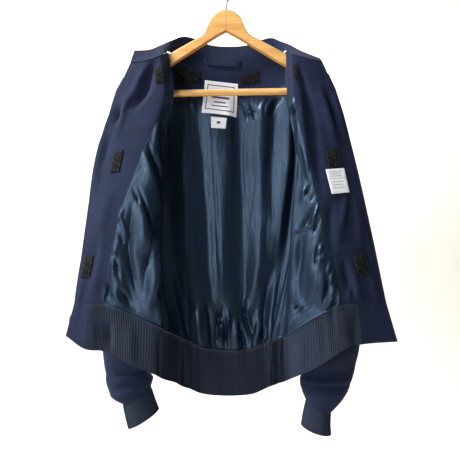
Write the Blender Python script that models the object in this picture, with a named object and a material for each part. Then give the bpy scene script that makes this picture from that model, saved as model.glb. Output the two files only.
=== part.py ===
"""A lightweight blouson jacket that hangs open on a wooden hanger.

Metres, +Z up. The origin is the inner top of the hanger's hook. X runs across the hanger,
Y runs back towards the wall, and the open front faces -Y. The tables are in millimetres.
Left and right are as seen from the front.
"""

import math

import bmesh
import bpy
import numpy as np
from mathutils import Matrix, Vector

MM = 0.001

# Cloth layers, as distances out from the middle surface of a panel: the shell lies
# outside it, the lining and facings inside it.
SHELL = (0.15, 1.45)
INNER = (-1.25, -0.15)
BAND = (-1.25, 1.55)
SEAM_GAP = 0.17
# A corner is drawn in along its diagonal, by this much more than an edge.
CORNER_DRAW = 1.42
LAID_GAP = 0.5

# Hanger
ARM_RISE_Z = -88.0
ARM_SLOPE = 0.554
ARM_UNDER_Z = -104.0
ARM_UNDER_SLOPE = 0.625
ARM_TILT = 0.0175
WOOD_THICK = 12.0
CLOTH_ROLL = 9.2
BAR_RADIUS = 6.2
BAR_Z = -218.7
BAR_HALF = 158.5
WIRE_RADIUS = 1.8
HOOK_RADIUS = 20.0
# The hook's crook: where it starts, how far it turns, in degrees, and its points.
CROOK_FROM = -38.0
CROOK_TURN = 238.0
CROOK_STEPS = 16
# The wood's upper edges are rounded within this share of its height.
WOOD_ROUNDED = 0.4

# Half outline of the wood: distance from the middle, top and underside. Blank heights
# follow the straight arm.
WOOD_OUTLINE = (
    # across, top, under
    (0.0, -65.6, -106.0),
    (8.0, -66.6, -110.2),
    (16.0, -70.2, -114.4),
    (23.0, -76.0, -118.6),
    (28.5, -83.0, -121.9),
    (32.5, -91.0, -124.4),
    (36.0, -101.0, -126.6),
    (41.0, -109.5, -129.7),
    (48.0, -115.0, None),
    (60.0, -121.4, None),
    (85.0, None, None),
    (115.0, None, None),
    (140.0, None, None),
    (152.0, None, -203.5),
    (159.0, None, -210.0),
    (160.5, None, -230.0),
    (172.0, None, -232.5),
    (179.0, -190.5, -229.0),
    (183.0, -197.0, -219.0),
)

# Heights down a panel, as shares of the way from its top edge to the rib seam.
LEVELS = (0.0, 0.15, 0.38, 0.70, 1.0)
LEVEL_NAMES = ("top", "yoke", "chest", "waist", "seam")
COLUMNS = (
    ("line",)
    + tuple("x_" + name for name in LEVEL_NAMES + ("hem",))
    + tuple("y_" + name for name in LEVEL_NAMES + ("hem",))
    + ("z_top", "z_seam", "z_hem")
)
ON_ARM = None

# One row for each line that runs down the cloth, from the front edge to the side seam.
LEFT_FRONT = (
    ("edge", -171, -197, -227, -245, -260, -275, -24, -28, -34, -42, -50, -52, -175, -599, -655),
    ("facing", -147, -155, -184, -213, -230, -239, -30, -36, -45, -56, -60, -61, -175, -598, -675),
    ("inner", -115, -107, -140, -184, -203, -206, -28, -38, -49, -62, -62, -62, -163, -598, -679),
    ("lining", -111, -103, -126, -148, -160, -162, -17, -31, -46, -64, -64, -64, -154, -615, -700),
    ("turn", -108, -99, -119, -121, -117, -121, -12, -28, -36, -54, -58, -58, -151, -636, -720),
    ("fold", -108, -95, -111, -112, -108, -112, -9, -20, -27, -42, -51, -51, ON_ARM, -645, -728),
    ("back", -113, -99, -118, -118, -102, -106, -9, -12, -17, -32, -41, -41, ON_ARM, -651, -735),
    ("chest", -150, -143, -148, -131, -95, -98, -9, -11, -12, -16, -29, -29, ON_ARM, -658, -742),
)
RIGHT_FRONT = (
    ("edge", 173, 200, 227, 257, 283, 303, -21, -24, -27, -31, -34, -34, -171, -602, -670),
    ("facing", 149, 164, 183, 215, 229, 236, -27, -33, -38, -44, -48, -48, -169, -602, -671),
    ("inner", 120, 120, 138, 173, 201, 208, -26, -37, -44, -53, -54, -54, -161, -600, -676),
    ("lining", 114, 116, 133, 150, 158, 162, -16, -29, -38, -46, -47, -47, -154, -622, -709),
    ("turn", 111, 114, 131, 124, 114, 117, -12, -26, -31, -26, -20, -20, -151, -659, -741),
    ("fold", 111, 111, 126, 117, 104, 107, -9, -19, -23, -16, -9, -9, ON_ARM, -667, -750),
    ("back", 116, 115, 132, 121, 99, 102, -9, -13, -15, -7, -3, -3, ON_ARM, -670, -754),
    ("chest", 150, 147, 154, 133, 95, 98, -9, -12, -12, -2, 2, 2, ON_ARM, -672, -757),
)
# The back, from its left side seam to its right.
BACK = (
    ("neck_left", -108, -108, -112, -103, -75, -78, 9, 22, 28, 20, -3, -3, ON_ARM, -675, -762),
    ("nape_left", -98, -98, -99, -90, -67, -69, 17, 26, 30, 23, 7, 7, -151, -681, -769),
    ("back_left", -62, -60, -60, -58, -48, -48, 31, 33, 33, 29, 23, 23, -164, -695, -784),
    ("centre", 0, 0, 0, 0, 0, 0, 35, 37, 37, 36, 36, 36, -165, -705, -794),
    ("back_right", 62, 62, 62, 60, 50, 51, 32, 34, 33, 31, 30, 30, -164, -700, -788),
    ("nape_right", 101, 101, 103, 92, 73, 75, 17, 26, 29, 26, 20, 20, -153, -687, -774),
    ("neck_right", 111, 111, 117, 106, 82, 84, 9, 22, 28, 22, 13, 13, ON_ARM, -680, -767),
)
# Steps between neighbouring lines, to which the side seam is added.
FRONT_STEPS = (3, 3, 3, 2, 2, 2, 2, 2)
BACK_STEPS = (4, 2, 4, 4, 4, 4, 2, 4)
ROWS = (0.0, 0.0057, 0.0196, 0.05, 0.10, 0.18, 0.27, 0.36)
ROWS += (0.45, 0.53, 0.62, 0.71, 0.80, 0.88, 0.95, 1.0)
UNDERARM_ROW = 9
# The rows that roll over the hanger's arm.
ROLL_ROWS = 3
SHOULDER_TO_SEAM = 472.0
HEM_STEPS = 2
# Grid columns of a front's lines, and the rows where the facings' lower edges lie.
LINE_INNER = sum(FRONT_STEPS[:2])
LINE_FOLD = sum(FRONT_STEPS[:5])
NECK_FACING_ROW = 4
YOKE_ROW = 5

# Side seams: shoulder end, underarm, waist, rib seam and hem.
SIDE_SEAMS = {
    "left": ((-188, 0, None), (-166, 4, -441), (-141, 0), (-88, -17, -665), (-91, -17, -749)),
    "right": ((188, 0, None), (168, 4, -441), (143, 8), (90, 6, -675), (93, 6, -761)),
}
ARMHOLE_HALF = 17.0
# Edges sharper than this, in degrees, stay sharp.
SHARP_FROM = 40.0

# Long soft folds in a panel: where across it (millimetres at the folds' middle), how wide,
# how far forward, and between which heights.
BACK_FOLDS = (
    # x, width, forward, from, to
    (-66, 18, -6, 0.15, 0.95),
    (-23, 13, 9, 0.10, 1.0),
    (15, 12, -7, 0.15, 0.95),
    (66, 14, 9, 0.12, 0.97),
    (86, 9, -5, 0.20, 1.0),
)
# Gathers above the rib, with a crest at every fourth step across. They start at a share
# of the way down, are deepest at GATHER_FULL of the rest and shallower at the seam.
GATHER_DEPTH = 3.2
GATHER_FROM = 0.74
GATHER_FULL = 0.8
GATHER_AT_SEAM = 0.45
GATHER_ON_FACING = 0.3
# Columns next to a side seam that stay clear of the gathers and folds.
SIDE_CLEAR = 3

# Sleeves: the outer and the inner edge of each section, its middle and half its depth.
LEFT_SLEEVE = (
    # outer x, outer z, inner x, inner z, y, half depth
    (-204, -214, -169, -453, 4, 20),
    (-218, -262, -166, -474, 5, 23),
    (-230, -335, -161, -506, 6, 25),
    (-237, -430, -153, -552, 7, 26),
    (-238, -530, -146, -607, 8, 25),
    (-235, -622, -141, -665, 8, 25),
    (-229, -696, -139, -713, 8, 24),
    (-224, -738, -147, -735, 8, 21),
    (-220, -765, -138, -748, 8, 25),
    (-209, -786, -141, -764, 8, 23),
    (-191, -796, -141, -770, 8, 20),
)
RIGHT_SLEEVE = (
    (204, -212, 172, -453, 5, 20),
    (219, -262, 170, -474, 6, 23),
    (233, -335, 165, -506, 7, 25),
    (244, -430, 158, -552, 8, 26),
    (251, -530, 150, -607, 8, 26),
    (252, -622, 143, -668, 8, 26),
    (247, -692, 138, -716, 8, 25),
    (238, -737, 140, -744, 8, 23),
    (230, -762, 139, -757, 8, 26),
    (216, -788, 145, -777, 8, 24),
    (194, -812, 151, -792, 8, 20),
)
LEFT_CUFF = ((-187, -817, -135, -788, 8, 21), (-181, -841, -127, -809, 8, 21))
RIGHT_CUFF = ((193, -832, 146, -814, 8, 22), (194, -852, 142, -837, 8, 22))
CUFF = (-0.9, 1.7)
CUFF_GAP = 0.5
# How far a sleeve's first ring stands off the armhole's edge: at the shoulder, and how
# much more at the underarm.
SLEEVE_OFF = (0.8, 1.5)

# The collar's upper edge, from its left end to its right end.
COLLAR_TOP = (
    # x, y, z
    (-166, -14, -148),
    (-139, -13, -146),
    (-121, -5, -135),
    (-103, 6, -121),
    (-83, 20, -106),
    (-66, 30, -104),
    (-34, 39, -113),
    (0, 41, -116),
    (40, 39, -114),
    (70, 31, -107),
    (87, 21, -108),
    (104, 9, -121),
    (119, 0, -132),
    (136, -9, -146),
    (154, -14, -156),
    (170, -14, -162),
)
COLLAR_HALF_THICK = 1.2
COLLAR_ROWS = 3
# How far the collar's foot stands off the neck seam: behind, over the arm and in front.
COLLAR_CLEAR = (0.8, 4.8, 1.7)
COLLAR_OVER_ARM = (CLOTH_ROLL, -1.4 * CLOTH_ROLL)

# Things laid on a panel: corners by x and z, from the upper left, clockwise.
PATCHES = {
    "patch_neck_back_left": ("back", (-96, -165), (-50, -168), (-50, -192), (-96, -190)),
    "patch_neck_back_right": ("back", (28, -176), (62, -168), (64, -189), (29, -192)),
    "patch_neck_left": ("left", (-126, -187), (-109, -184), (-109, -213), (-122, -216)),
    "patch_neck_right": ("right", (119, -176), (128, -182), (129, -208), (120, -204)),
    "patch_front_left_upper": ("left", (-192, -338), (-177, -334), (-183, -372), (-199, -374)),
    "patch_front_left_lower": ("left", (-242, -518), (-226, -516), (-232, -553), (-248, -555)),
    "patch_front_right_upper": ("right", (174, -334), (199, -331), (202, -362), (178, -365)),
    "patch_front_right_lower": ("right", (221, -518), (246, -514), (252, -550), (227, -554)),
}
PATCH_THICK = 1.4
LAID_STEPS = 5
LABELS = {
    "main_label": ("back", (-41, -184), (23, -191), (19, -254), (-47, -246)),
    "size_label": ("back", (-29, -254.5), (1, -257.5), (-1, -278), (-29, -276)),
    "care_label": ("right", (173, -368), (207, -364.5), (216, -407), (183, -411)),
    "pocket_welt": ("right", (121, -474), (151, -463), (152, -471), (121, -483)),
}
LABEL_THICK = 0.9
LABEL_OFF = 1.0

# Zip: the slider's size across, out and down, its height and how far out it lies, then
# the pull tab and the pin that it swings on.
TAPE_THICK = 0.9
SLIDER_SIZE = (8.6, 4.6, 11.5)
SLIDER_Z = -627.0
SLIDER_OUT = BAND[1] + 0.35
SLIDER_ACROSS = -0.3
PIN_RADIUS = 0.75
PIN_OUT = 2.6
PIN_DOWN = -1.0
LUG_WIDE = 1.0
LUG_TALL = 2.0
LUG_APART = 4.8
PULL_EYE = 2.0
PULL_HOLE = 1.15
PULL_NECK = 3.0
PULL_LONG = 21.0
PULL_WIDE = 5.6
PULL_THICK = 1.4


def arm_top(x):
    return ARM_RISE_Z - ARM_SLOPE * abs(x) + ARM_TILT * x


def on_arm(x):
    """The height of cloth that rolls over the arm."""
    return arm_top(x) - WOOD_THICK / 2 + CLOTH_ROLL


def eased(at, values, t):
    """A smooth curve through the values, with no overshoot."""
    step = np.diff(at)
    rise = np.diff(values) / step
    slope = np.zeros(len(values))
    slope[0] = rise[0]
    slope[-1] = rise[-1]
    for i in range(1, len(values) - 1):
        if rise[i - 1] * rise[i] > 0:
            slope[i] = 2 * rise[i - 1] * rise[i] / (rise[i - 1] + rise[i])
    i = min(max(int(np.searchsorted(at, t, side="right")) - 1, 0), len(step) - 1)
    f = (t - at[i]) / step[i]
    start = values[i] * (1 + 2 * f) * (1 - f) ** 2 + slope[i] * step[i] * f * (1 - f) ** 2
    return start + values[i + 1] * f * f * (3 - 2 * f) - slope[i + 1] * step[i] * f * f * (1 - f)


def through(points, i, f):
    """A point a share f along stretch i of a smooth curve through the points."""
    b = np.array(points[i], float)
    c = np.array(points[i + 1], float)
    a = np.array(points[i - 1], float) if i > 0 else 2 * b - c
    d = np.array(points[i + 2], float) if i + 2 < len(points) else 2 * c - b
    k = [0.0]
    for p, q in ((a, b), (b, c), (c, d)):
        k.append(k[-1] + max(np.linalg.norm(q - p), 1e-6) ** 0.5)
    t = k[1] + (k[2] - k[1]) * f
    ab = ((k[1] - t) * a + (t - k[0]) * b) / (k[1] - k[0])
    bc = ((k[2] - t) * b + (t - k[1]) * c) / (k[2] - k[1])
    cd = ((k[3] - t) * c + (t - k[2]) * d) / (k[3] - k[2])
    abc = ((k[2] - t) * ab + (t - k[0]) * bc) / (k[2] - k[0])
    bcd = ((k[3] - t) * bc + (t - k[1]) * cd) / (k[3] - k[1])
    return ((k[2] - t) * abc + (t - k[1]) * bcd) / (k[2] - k[1])


def roll_out(drop):
    """How far out cloth lies that has rolled over the arm's top and dropped this much."""
    return CLOTH_ROLL * math.sqrt(1 - (1 - min(drop / CLOTH_ROLL, 1.0)) ** 2)


def line_point(row, t):
    """A point of one line of a panel, a share t of the way to the rib seam."""
    line = dict(zip(COLUMNS, row))
    x = eased(LEVELS, [line["x_" + name] for name in LEVEL_NAMES], t)
    y = eased(LEVELS, [line["y_" + name] for name in LEVEL_NAMES], t)
    top = line["z_top"]
    if top is ON_ARM:
        top = on_arm(line["x_top"])
        y *= roll_out(t * (top - line["z_seam"])) / CLOTH_ROLL
    return (x, y, top + t * (line["z_seam"] - top))


def side_point(side, t, way):
    """A point of the side seam. Above the underarm it parts into the armhole's edges."""
    shoulder, underarm, waist, seam, _ = SIDE_SEAMS[side]
    top = on_arm(shoulder[0])
    t_arm = ROWS[UNDERARM_ROW]
    if t <= t_arm:
        f = t / t_arm
        drop = t * SHOULDER_TO_SEAM
        open_half = ARMHOLE_HALF * math.sqrt(max(0.0, 1 - (2 * f - 1) ** 2))
        if f < 0.5:
            open_half = max(open_half, roll_out(drop))
        return (
            shoulder[0] + f * (underarm[0] - shoulder[0]),
            shoulder[1] + f * (underarm[1] - shoulder[1]) + way * open_half,
            top + f * (underarm[2] - top),
        )
    levels = (t_arm, LEVELS[3], 1.0)
    x = eased(levels, (underarm[0], waist[0], seam[0]), t)
    y = eased(levels, (underarm[1], waist[1], seam[1]), t)
    f = (t - t_arm) / (1 - t_arm)
    return (x, y, underarm[2] + f * (seam[2] - underarm[2]))


def hem_point(row):
    line = dict(zip(COLUMNS, row))
    return (line["x_hem"], line["y_hem"], line["z_hem"])


def grid_normals(points):
    """Unit normals of a grid of points, from its neighbouring points."""
    along = np.gradient(points, axis=0)
    down = np.gradient(points, axis=1)
    normal = np.cross(along, down)
    length = np.linalg.norm(normal, axis=2, keepdims=True)
    return normal / np.maximum(length, 1e-9)


class Panel:
    """A grid of points down and across a panel, with normals that point out of the jacket."""

    def __init__(self, points, flip):
        self.points = np.array(points, float)
        self.normals = grid_normals(self.points) * (-1 if flip else 1)

    def offset(self, i, j, out):
        return self.points[i, j] + self.normals[i, j] * out

    def locate(self, x, z, columns):
        """The point of the panel's facets behind a place seen from the front."""
        for i in columns:
            for j in range(self.points.shape[1] - 1):
                corners = ((i, j), (i + 1, j), (i + 1, j + 1), (i, j + 1))
                for pick in ((0, 1, 2), (0, 2, 3)):
                    at = [corners[n] for n in pick]
                    p = [self.points[c] for c in at]
                    base = np.array([p[1] - p[0], p[2] - p[0]])[:, (0, 2)].T
                    if abs(np.linalg.det(base)) < 1e-9:
                        continue
                    a, b = np.linalg.solve(base, (x - p[0][0], z - p[0][2]))
                    if a >= -1e-6 and b >= -1e-6 and a + b <= 1 + 1e-6:
                        n = [self.normals[c] for c in at]
                        point = p[0] + a * (p[1] - p[0]) + b * (p[2] - p[0])
                        normal = n[0] + a * (n[1] - n[0]) + b * (n[2] - n[0])
                        return point, normal / np.linalg.norm(normal)
        raise ValueError(f"no cloth at x {x}, z {z}")


def share_normals(left, back, right, hem):
    """Gives pieces that meet at a seam the same way out there."""
    arm = UNDERARM_ROW
    for panel, i, other, n in ((left, -1, back, 0), (right, -1, back, -1)):
        for j in range(arm, len(ROWS)):
            mean = panel.normals[i, j] + other.normals[n, j]
            mean /= np.linalg.norm(mean)
            panel.normals[i, j] = mean
            other.normals[n, j] = mean
    first, last = BACK_STEPS[0], back.points.shape[0] - 1 - BACK_STEPS[-1]
    ridge = [(left, i) for i in range(LINE_FOLD, left.points.shape[0])]
    ridge += [(right, i) for i in range(LINE_FOLD, right.points.shape[0])]
    ridge += [(back, i) for i in range(back.points.shape[0]) if i <= first or i >= last]
    for panel, i in ridge:
        slope = ARM_SLOPE * (1 if panel.points[i, 0][0] > 0 else -1)
        panel.normals[i, 0] = np.array((slope, 0, 1)) / math.hypot(slope, 1)
    wide = left.points.shape[0]
    seam = [(left, i) for i in range(wide)]
    seam += [(back, i) for i in range(1, back.points.shape[0])]
    seam += [(right, i) for i in range(wide - 2, -1, -1)]
    for n, (panel, i) in enumerate(seam):
        mean = panel.normals[i, -1] + hem.normals[n, 0]
        mean /= np.linalg.norm(mean)
        panel.normals[i, -1] = mean
        hem.normals[n, 0] = mean
    left.normals[-1, -1] = back.normals[0, -1] = hem.normals[wide - 1, 0]


def gather(column, t):
    """How far a gather above the rib pushes the cloth out at a column."""
    if t <= GATHER_FROM:
        return 0.0
    f = (t - GATHER_FROM) / (1 - GATHER_FROM)
    if f < GATHER_FULL:
        fade = math.sin(math.pi / 2 * f / GATHER_FULL)
    else:
        fade = 1 - (1 - GATHER_AT_SEAM) * (f - GATHER_FULL) / (1 - GATHER_FULL)
    return GATHER_DEPTH * fade * math.sin(column * math.pi / 2)


def make_columns(lines, steps):
    """Points across a panel at one height, from the points of its lines."""
    row = []
    for i, count in enumerate(steps):
        for k in range(count):
            row.append(through(lines, i, k / count))
    row.append(np.array(lines[-1], float))
    return row


def lay_over_arm(points, columns, way):
    """Makes the first rows of some columns follow the roll over the hanger's arm."""
    for i in columns:
        for j in range(ROLL_ROWS):
            drop = ROWS[j] * SHOULDER_TO_SEAM
            points[i, j][1] = way * roll_out(drop)
            points[i, j][2] = on_arm(points[i, j][0]) - drop


def front_panel(table, side):
    rows = []
    for t in ROWS:
        lines = [line_point(line, t) for line in table] + [side_point(side, t, -1)]
        rows.append(make_columns(lines, FRONT_STEPS))
    points = np.array(rows).transpose(1, 0, 2)
    lay_over_arm(points, range(LINE_FOLD, points.shape[0] - 1), -1)
    flip = side == "right"
    normals = grid_normals(points) * (-1 if flip else 1)
    for i in range(1, points.shape[0] - 1 - SIDE_CLEAR):
        share = 1 if i > LINE_INNER else GATHER_ON_FACING
        for j, t in enumerate(ROWS):
            points[i, j] += normals[i, j] * gather(i, t) * share
    return Panel(points, flip)


def back_panel():
    rows = []
    for t in ROWS:
        lines = [side_point("left", t, 1)]
        lines += [line_point(line, t) for line in BACK]
        lines += [side_point("right", t, 1)]
        rows.append(make_columns(lines, BACK_STEPS))
    points = np.array(rows).transpose(1, 0, 2)
    last = points.shape[0] - 1
    lay_over_arm(points, range(1, BACK_STEPS[0] + 1), 1)
    lay_over_arm(points, range(last - BACK_STEPS[-1], last), 1)
    for i in range(SIDE_CLEAR, last + 1 - SIDE_CLEAR):
        for j, t in enumerate(ROWS):
            x = points[i, j][0]
            for centre, width, forward, start, end in BACK_FOLDS:
                fade = math.sin(math.pi * min(max((t - start) / (end - start), 0.0), 1.0)) ** 0.7
                points[i, j][1] -= forward * fade * math.exp(-(((x - centre) / width) ** 2))
            points[i, j][1] += gather(i, t)
    return Panel(points, False)


def hem_panel(left, back, right):
    """The rib band's grid, from the rib seam's points down to the hem."""
    tops = [left.points[i, -1] for i in range(left.points.shape[0])]
    tops += [back.points[i, -1] for i in range(1, back.points.shape[0])]
    tops += [right.points[i, -1] for i in range(right.points.shape[0] - 2, -1, -1)]
    side_left = SIDE_SEAMS["left"][4]
    side_right = SIDE_SEAMS["right"][4]
    hems = make_columns([hem_point(r) for r in LEFT_FRONT] + [side_left], FRONT_STEPS)
    hems += make_columns([side_left] + [hem_point(r) for r in BACK] + [side_right], BACK_STEPS)[1:]
    hems += make_columns([hem_point(r) for r in RIGHT_FRONT] + [side_right], FRONT_STEPS)[-2::-1]
    columns = []
    for top, hem in zip(tops, hems):
        columns.append([top + (hem - top) * k / HEM_STEPS for k in range(HEM_STEPS + 1)])
    return Panel(columns, False)


def collar_panel(left, back, right):
    """The collar's grid, from the neck seam's points up to the collar's edge."""
    neck = [left.points[i, 0] for i in range(LINE_FOLD + 1)]
    first = BACK_STEPS[0]
    last = back.points.shape[0] - 1 - BACK_STEPS[-1]
    neck += [back.points[i, 0] for i in range(first + 1, last)]
    neck += [right.points[i, 0] for i in range(LINE_FOLD, -1, -1)]
    base = np.array(neck)
    share = np.concatenate([[0], np.cumsum(np.linalg.norm(np.diff(base, axis=0), axis=1))])
    share /= share[-1]
    top = np.array(COLLAR_TOP, float)
    reach = np.concatenate([[0], np.cumsum(np.linalg.norm(np.diff(top, axis=0), axis=1))])
    reach /= reach[-1]
    columns = []
    for point, s in zip(base, share):
        i = min(max(int(np.searchsorted(reach, s, side="right")) - 1, 0), len(top) - 2)
        f = (s - reach[i]) / (reach[i + 1] - reach[i])
        edge = through(top, i, f)
        rise = edge - point
        place = sum(point[1] <= limit for limit in COLLAR_OVER_ARM)
        start = point + rise * (COLLAR_CLEAR[place] / np.linalg.norm(rise))
        columns.append([start + (edge - start) * k / COLLAR_ROWS for k in range(COLLAR_ROWS + 1)])
    return Panel(columns, False)


def material(name, colour, roughness, metallic=0.0):
    made = bpy.data.materials.get(name) or bpy.data.materials.new(name)
    made.use_nodes = True
    shader = made.node_tree.nodes["Principled BSDF"]
    shader.inputs["Base Color"].default_value = (*colour, 1.0)
    shader.inputs["Roughness"].default_value = roughness
    shader.inputs["Metallic"].default_value = metallic
    return made


def add_object(name, mesh, made_of, smooth=True):
    mesh.materials.append(made_of)
    if smooth:
        mesh.shade_smooth()
        mesh.set_sharp_from_angle(angle=math.radians(SHARP_FROM))
    made = bpy.data.objects.new(name, mesh)
    bpy.context.scene.collection.objects.link(made)
    return made


def solid_mesh(name, points, faces):
    """A closed mesh from points in millimetres, with its faces turned out."""
    mesh = bpy.data.meshes.new(name)
    mesh.from_pydata([tuple(np.array(p, float) * MM) for p in points], [], faces)
    shape = bmesh.new()
    shape.from_mesh(mesh)
    bmesh.ops.recalc_face_normals(shape, faces=shape.faces)
    shape.to_mesh(mesh)
    shape.free()
    return mesh


def sheet_faces(cells, index):
    """Two skins of triangles over the cells, and walls round their edge."""
    faces = []
    edges = {}
    for i, j in cells:
        corners = ((i, j), (i + 1, j), (i + 1, j + 1), (i, j + 1))
        for pick in ((0, 1, 2), (0, 2, 3)):
            low = [index[corners[n]] for n in pick]
            faces.append([2 * n for n in low])
            faces.append([2 * n + 1 for n in reversed(low)])
        for n in range(4):
            pair = (corners[n], corners[(n + 1) % 4])
            if (pair[1], pair[0]) in edges:
                del edges[(pair[1], pair[0])]
            else:
                edges[pair] = True
    for a, b in edges:
        p, q = index[a], index[b]
        faces.append([2 * q, 2 * p, 2 * p + 1])
        faces.append([2 * q, 2 * p + 1, 2 * q + 1])
    return faces, edges


def cloth(name, panel, cells, layer, made_of):
    """A wall of cloth over some cells of a panel, drawn in a little at its edges."""
    cells = sorted(cells)
    corners = sorted({c for i, j in cells for c in ((i, j), (i + 1, j), (i + 1, j + 1), (i, j + 1))})
    index = {c: n for n, c in enumerate(corners)}
    faces, edges = sheet_faces(cells, index)
    rim = {c for pair in edges for c in pair}
    inward = {c: np.zeros(3) for c in rim}
    for a, b in edges:
        run = panel.points[b] - panel.points[a]
        length = np.linalg.norm(run)
        for c in (a, b):
            across = np.cross(panel.normals[c], run / max(length, 1e-6))
            inward[c] += across
    sign = edge_sign(panel, cells, edges)
    points = []
    for c in corners:
        shift = np.zeros(3)
        if c in rim:
            size = np.linalg.norm(inward[c])
            if size > 1e-6:
                shift = sign * inward[c] / size * SEAM_GAP * min(CORNER_DRAW, 2 / size)
        points.append(panel.points[c] + shift + panel.normals[c] * layer[0])
        points.append(panel.points[c] + shift + panel.normals[c] * layer[1])
    return add_object(name, solid_mesh(name, points, faces), made_of)


def edge_sign(panel, cells, edges):
    """Whether a cell's edge directions turn left or right round its normal."""
    a, b = next(iter(edges))
    for i, j in cells:
        corners = ((i, j), (i + 1, j), (i + 1, j + 1), (i, j + 1))
        if a in corners and b in corners:
            middle = sum(panel.points[c] for c in corners) / 4
            across = np.cross(panel.normals[a], panel.points[b] - panel.points[a])
            return 1.0 if np.dot(across, middle - panel.points[a]) > 0 else -1.0
    return 1.0


def laid(name, panel, corners, columns, thick, off, made_of):
    """A flat piece laid on the inner side of a panel, between four corners."""
    a, b, c, d = (np.array(p, float) for p in corners)
    points = []
    index = {}
    for i in range(LAID_STEPS + 1):
        for j in range(LAID_STEPS + 1):
            u, v = i / LAID_STEPS, j / LAID_STEPS
            x, z = (a * (1 - u) + b * u) * (1 - v) + (d * (1 - u) + c * u) * v
            point, normal = panel.locate(x, z, columns)
            index[(i, j)] = len(points) // 2
            points.append(point + normal * (INNER[0] - off))
            points.append(point + normal * (INNER[0] - off - thick))
    cells = [(i, j) for i in range(LAID_STEPS) for j in range(LAID_STEPS)]
    faces, _ = sheet_faces(cells, index)
    return add_object(name, solid_mesh(name, points, faces), made_of, smooth=False)


def tube(name, rings, made_of):
    """A tube wall from pairs of rings: each section's outer ring and its inner ring."""
    count = len(rings[0][0])
    points = []
    for outer, inner in rings:
        points += list(outer) + list(inner)
    faces = []
    for s in range(len(rings) - 1):
        for k in range(count):
            n = (k + 1) % count
            for part in (0, count):
                a = 2 * count * s + part + k
                b = 2 * count * s + part + n
                c, d = b + 2 * count, a + 2 * count
                faces += [[a, b, c], [a, c, d]]
    for s in (0, len(rings) - 1):
        for k in range(count):
            n = (k + 1) % count
            a, b = 2 * count * s + k, 2 * count * s + n
            faces += [[a, b, b + count], [a, b + count, a + count]]
    return add_object(name, solid_mesh(name, points, faces), made_of)


def oval(section, shares, out):
    """A ring round a sleeve's section, pushed out by a wall's thickness."""
    ox, oz, ix, iz, y, half = section
    centre = np.array(((ox + ix) / 2, y, (oz + iz) / 2))
    reach = np.array(((ox - ix) / 2, 0.0, (oz - iz) / 2))
    long = np.linalg.norm(reach)
    reach *= (long + out) / long
    ring = []
    for cosine, sine in shares:
        ring.append(centre + reach * cosine + np.array((0, (half + out) * sine, 0)))
    return ring


def sleeve_shares():
    """Places round a sleeve that match the panels' rows down the armhole."""
    t_arm = ROWS[UNDERARM_ROW]
    cosines = [1 - 2 * t / t_arm for t in ROWS[: UNDERARM_ROW + 1]]
    front = [(c, -math.sqrt(max(0.0, 1 - c * c))) for c in cosines]
    back = [(c, math.sqrt(max(0.0, 1 - c * c))) for c in reversed(cosines[1:-1])]
    return front + back


def armhole_ring(side, out):
    """The sleeve's first ring, just outside the panels' edges round the armhole."""
    way = -1 if side == "left" else 1
    rows = ROWS[: UNDERARM_ROW + 1]
    edge = [np.array(side_point(side, t, -1)) for t in rows]
    edge += [np.array(side_point(side, t, 1)) for t in reversed(rows[1:-1])]
    tall = edge[0][2] - edge[UNDERARM_ROW][2]
    ring = []
    for point, (cosine, sine) in zip(edge, sleeve_shares()):
        normal = np.array((0, sine / ARMHOLE_HALF, 2 * cosine / tall))
        normal /= np.linalg.norm(normal)
        low = (1 - cosine) / 2
        off = SLEEVE_OFF[0] + SLEEVE_OFF[1] * low**3
        ring.append(point + normal * out + np.array((way * off, 0, 0)))
    return ring


def sleeve(name, side, table, made_of):
    shares = sleeve_shares()
    rings = [[armhole_ring(side, out) for out in (SHELL[1], SHELL[0])]]
    for section in table:
        rings.append([oval(section, shares, out) for out in (SHELL[1], SHELL[0])])
    return tube(name, rings, made_of)


def cuff(name, wrist, table, made_of):
    """A knitted cuff that starts where the sleeve's last section ends."""
    near, far = np.array(wrist, float), np.array(table[0], float)
    shift = (far - near) / np.linalg.norm((far - near)[:2]) * CUFF_GAP
    shares = sleeve_shares()
    rings = []
    for section in (near + shift,) + table:
        rings.append([oval(section, shares, out) for out in (CUFF[1], CUFF[0])])
    return tube(name, rings, made_of)


def block_cells(columns, rows):
    return {(i, j) for i in columns for j in rows}


def hanger_wood(made_of):
    """The crown and both arms in one outline, with rounded upper edges."""
    half = WOOD_THICK / 2
    stations = []
    for sign in (-1, 1):
        rows = WOOD_OUTLINE if sign > 0 else WOOD_OUTLINE[:0:-1]
        for across, top, under in rows:
            x = sign * across
            tilt = ARM_TILT * x
            line = ARM_RISE_Z - ARM_SLOPE * across if top is None else top
            low = ARM_UNDER_Z - ARM_UNDER_SLOPE * across if under is None else under
            stations.append((x, line + tilt, low + tilt))
    stations.sort()
    section = (
        # y, depth below the top, height above the underside
        (-half + 1.2, None, 0.0),
        (-half, None, 1.2),
        (-half, 5.0, None),
        (-half + 1.4, 1.6, None),
        (-half + 4.6, 0.0, None),
        (half - 4.6, 0.0, None),
        (half - 1.4, 1.6, None),
        (half, 5.0, None),
        (half, None, 1.2),
        (half - 1.2, None, 0.0),
    )
    points = []
    for x, top, low in stations:
        tall = top - low
        for y, below, above in section:
            if below is None:
                points.append((x, y, low + above))
            else:
                points.append((x, y, top - min(below, tall * WOOD_ROUNDED)))
    count = len(section)
    faces = []
    for s in range(len(stations) - 1):
        for k in range(count):
            n = (k + 1) % count
            a, b = s * count + k, s * count + n
            faces += [[a, b, b + count], [a, b + count, a + count]]
    for s in (0, len(stations) - 1):
        first = s * count
        faces += [[first, first + k, first + k + 1] for k in range(1, count - 1)]
    return add_object("hanger_wood", solid_mesh("hanger_wood", points, faces), made_of)


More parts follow.
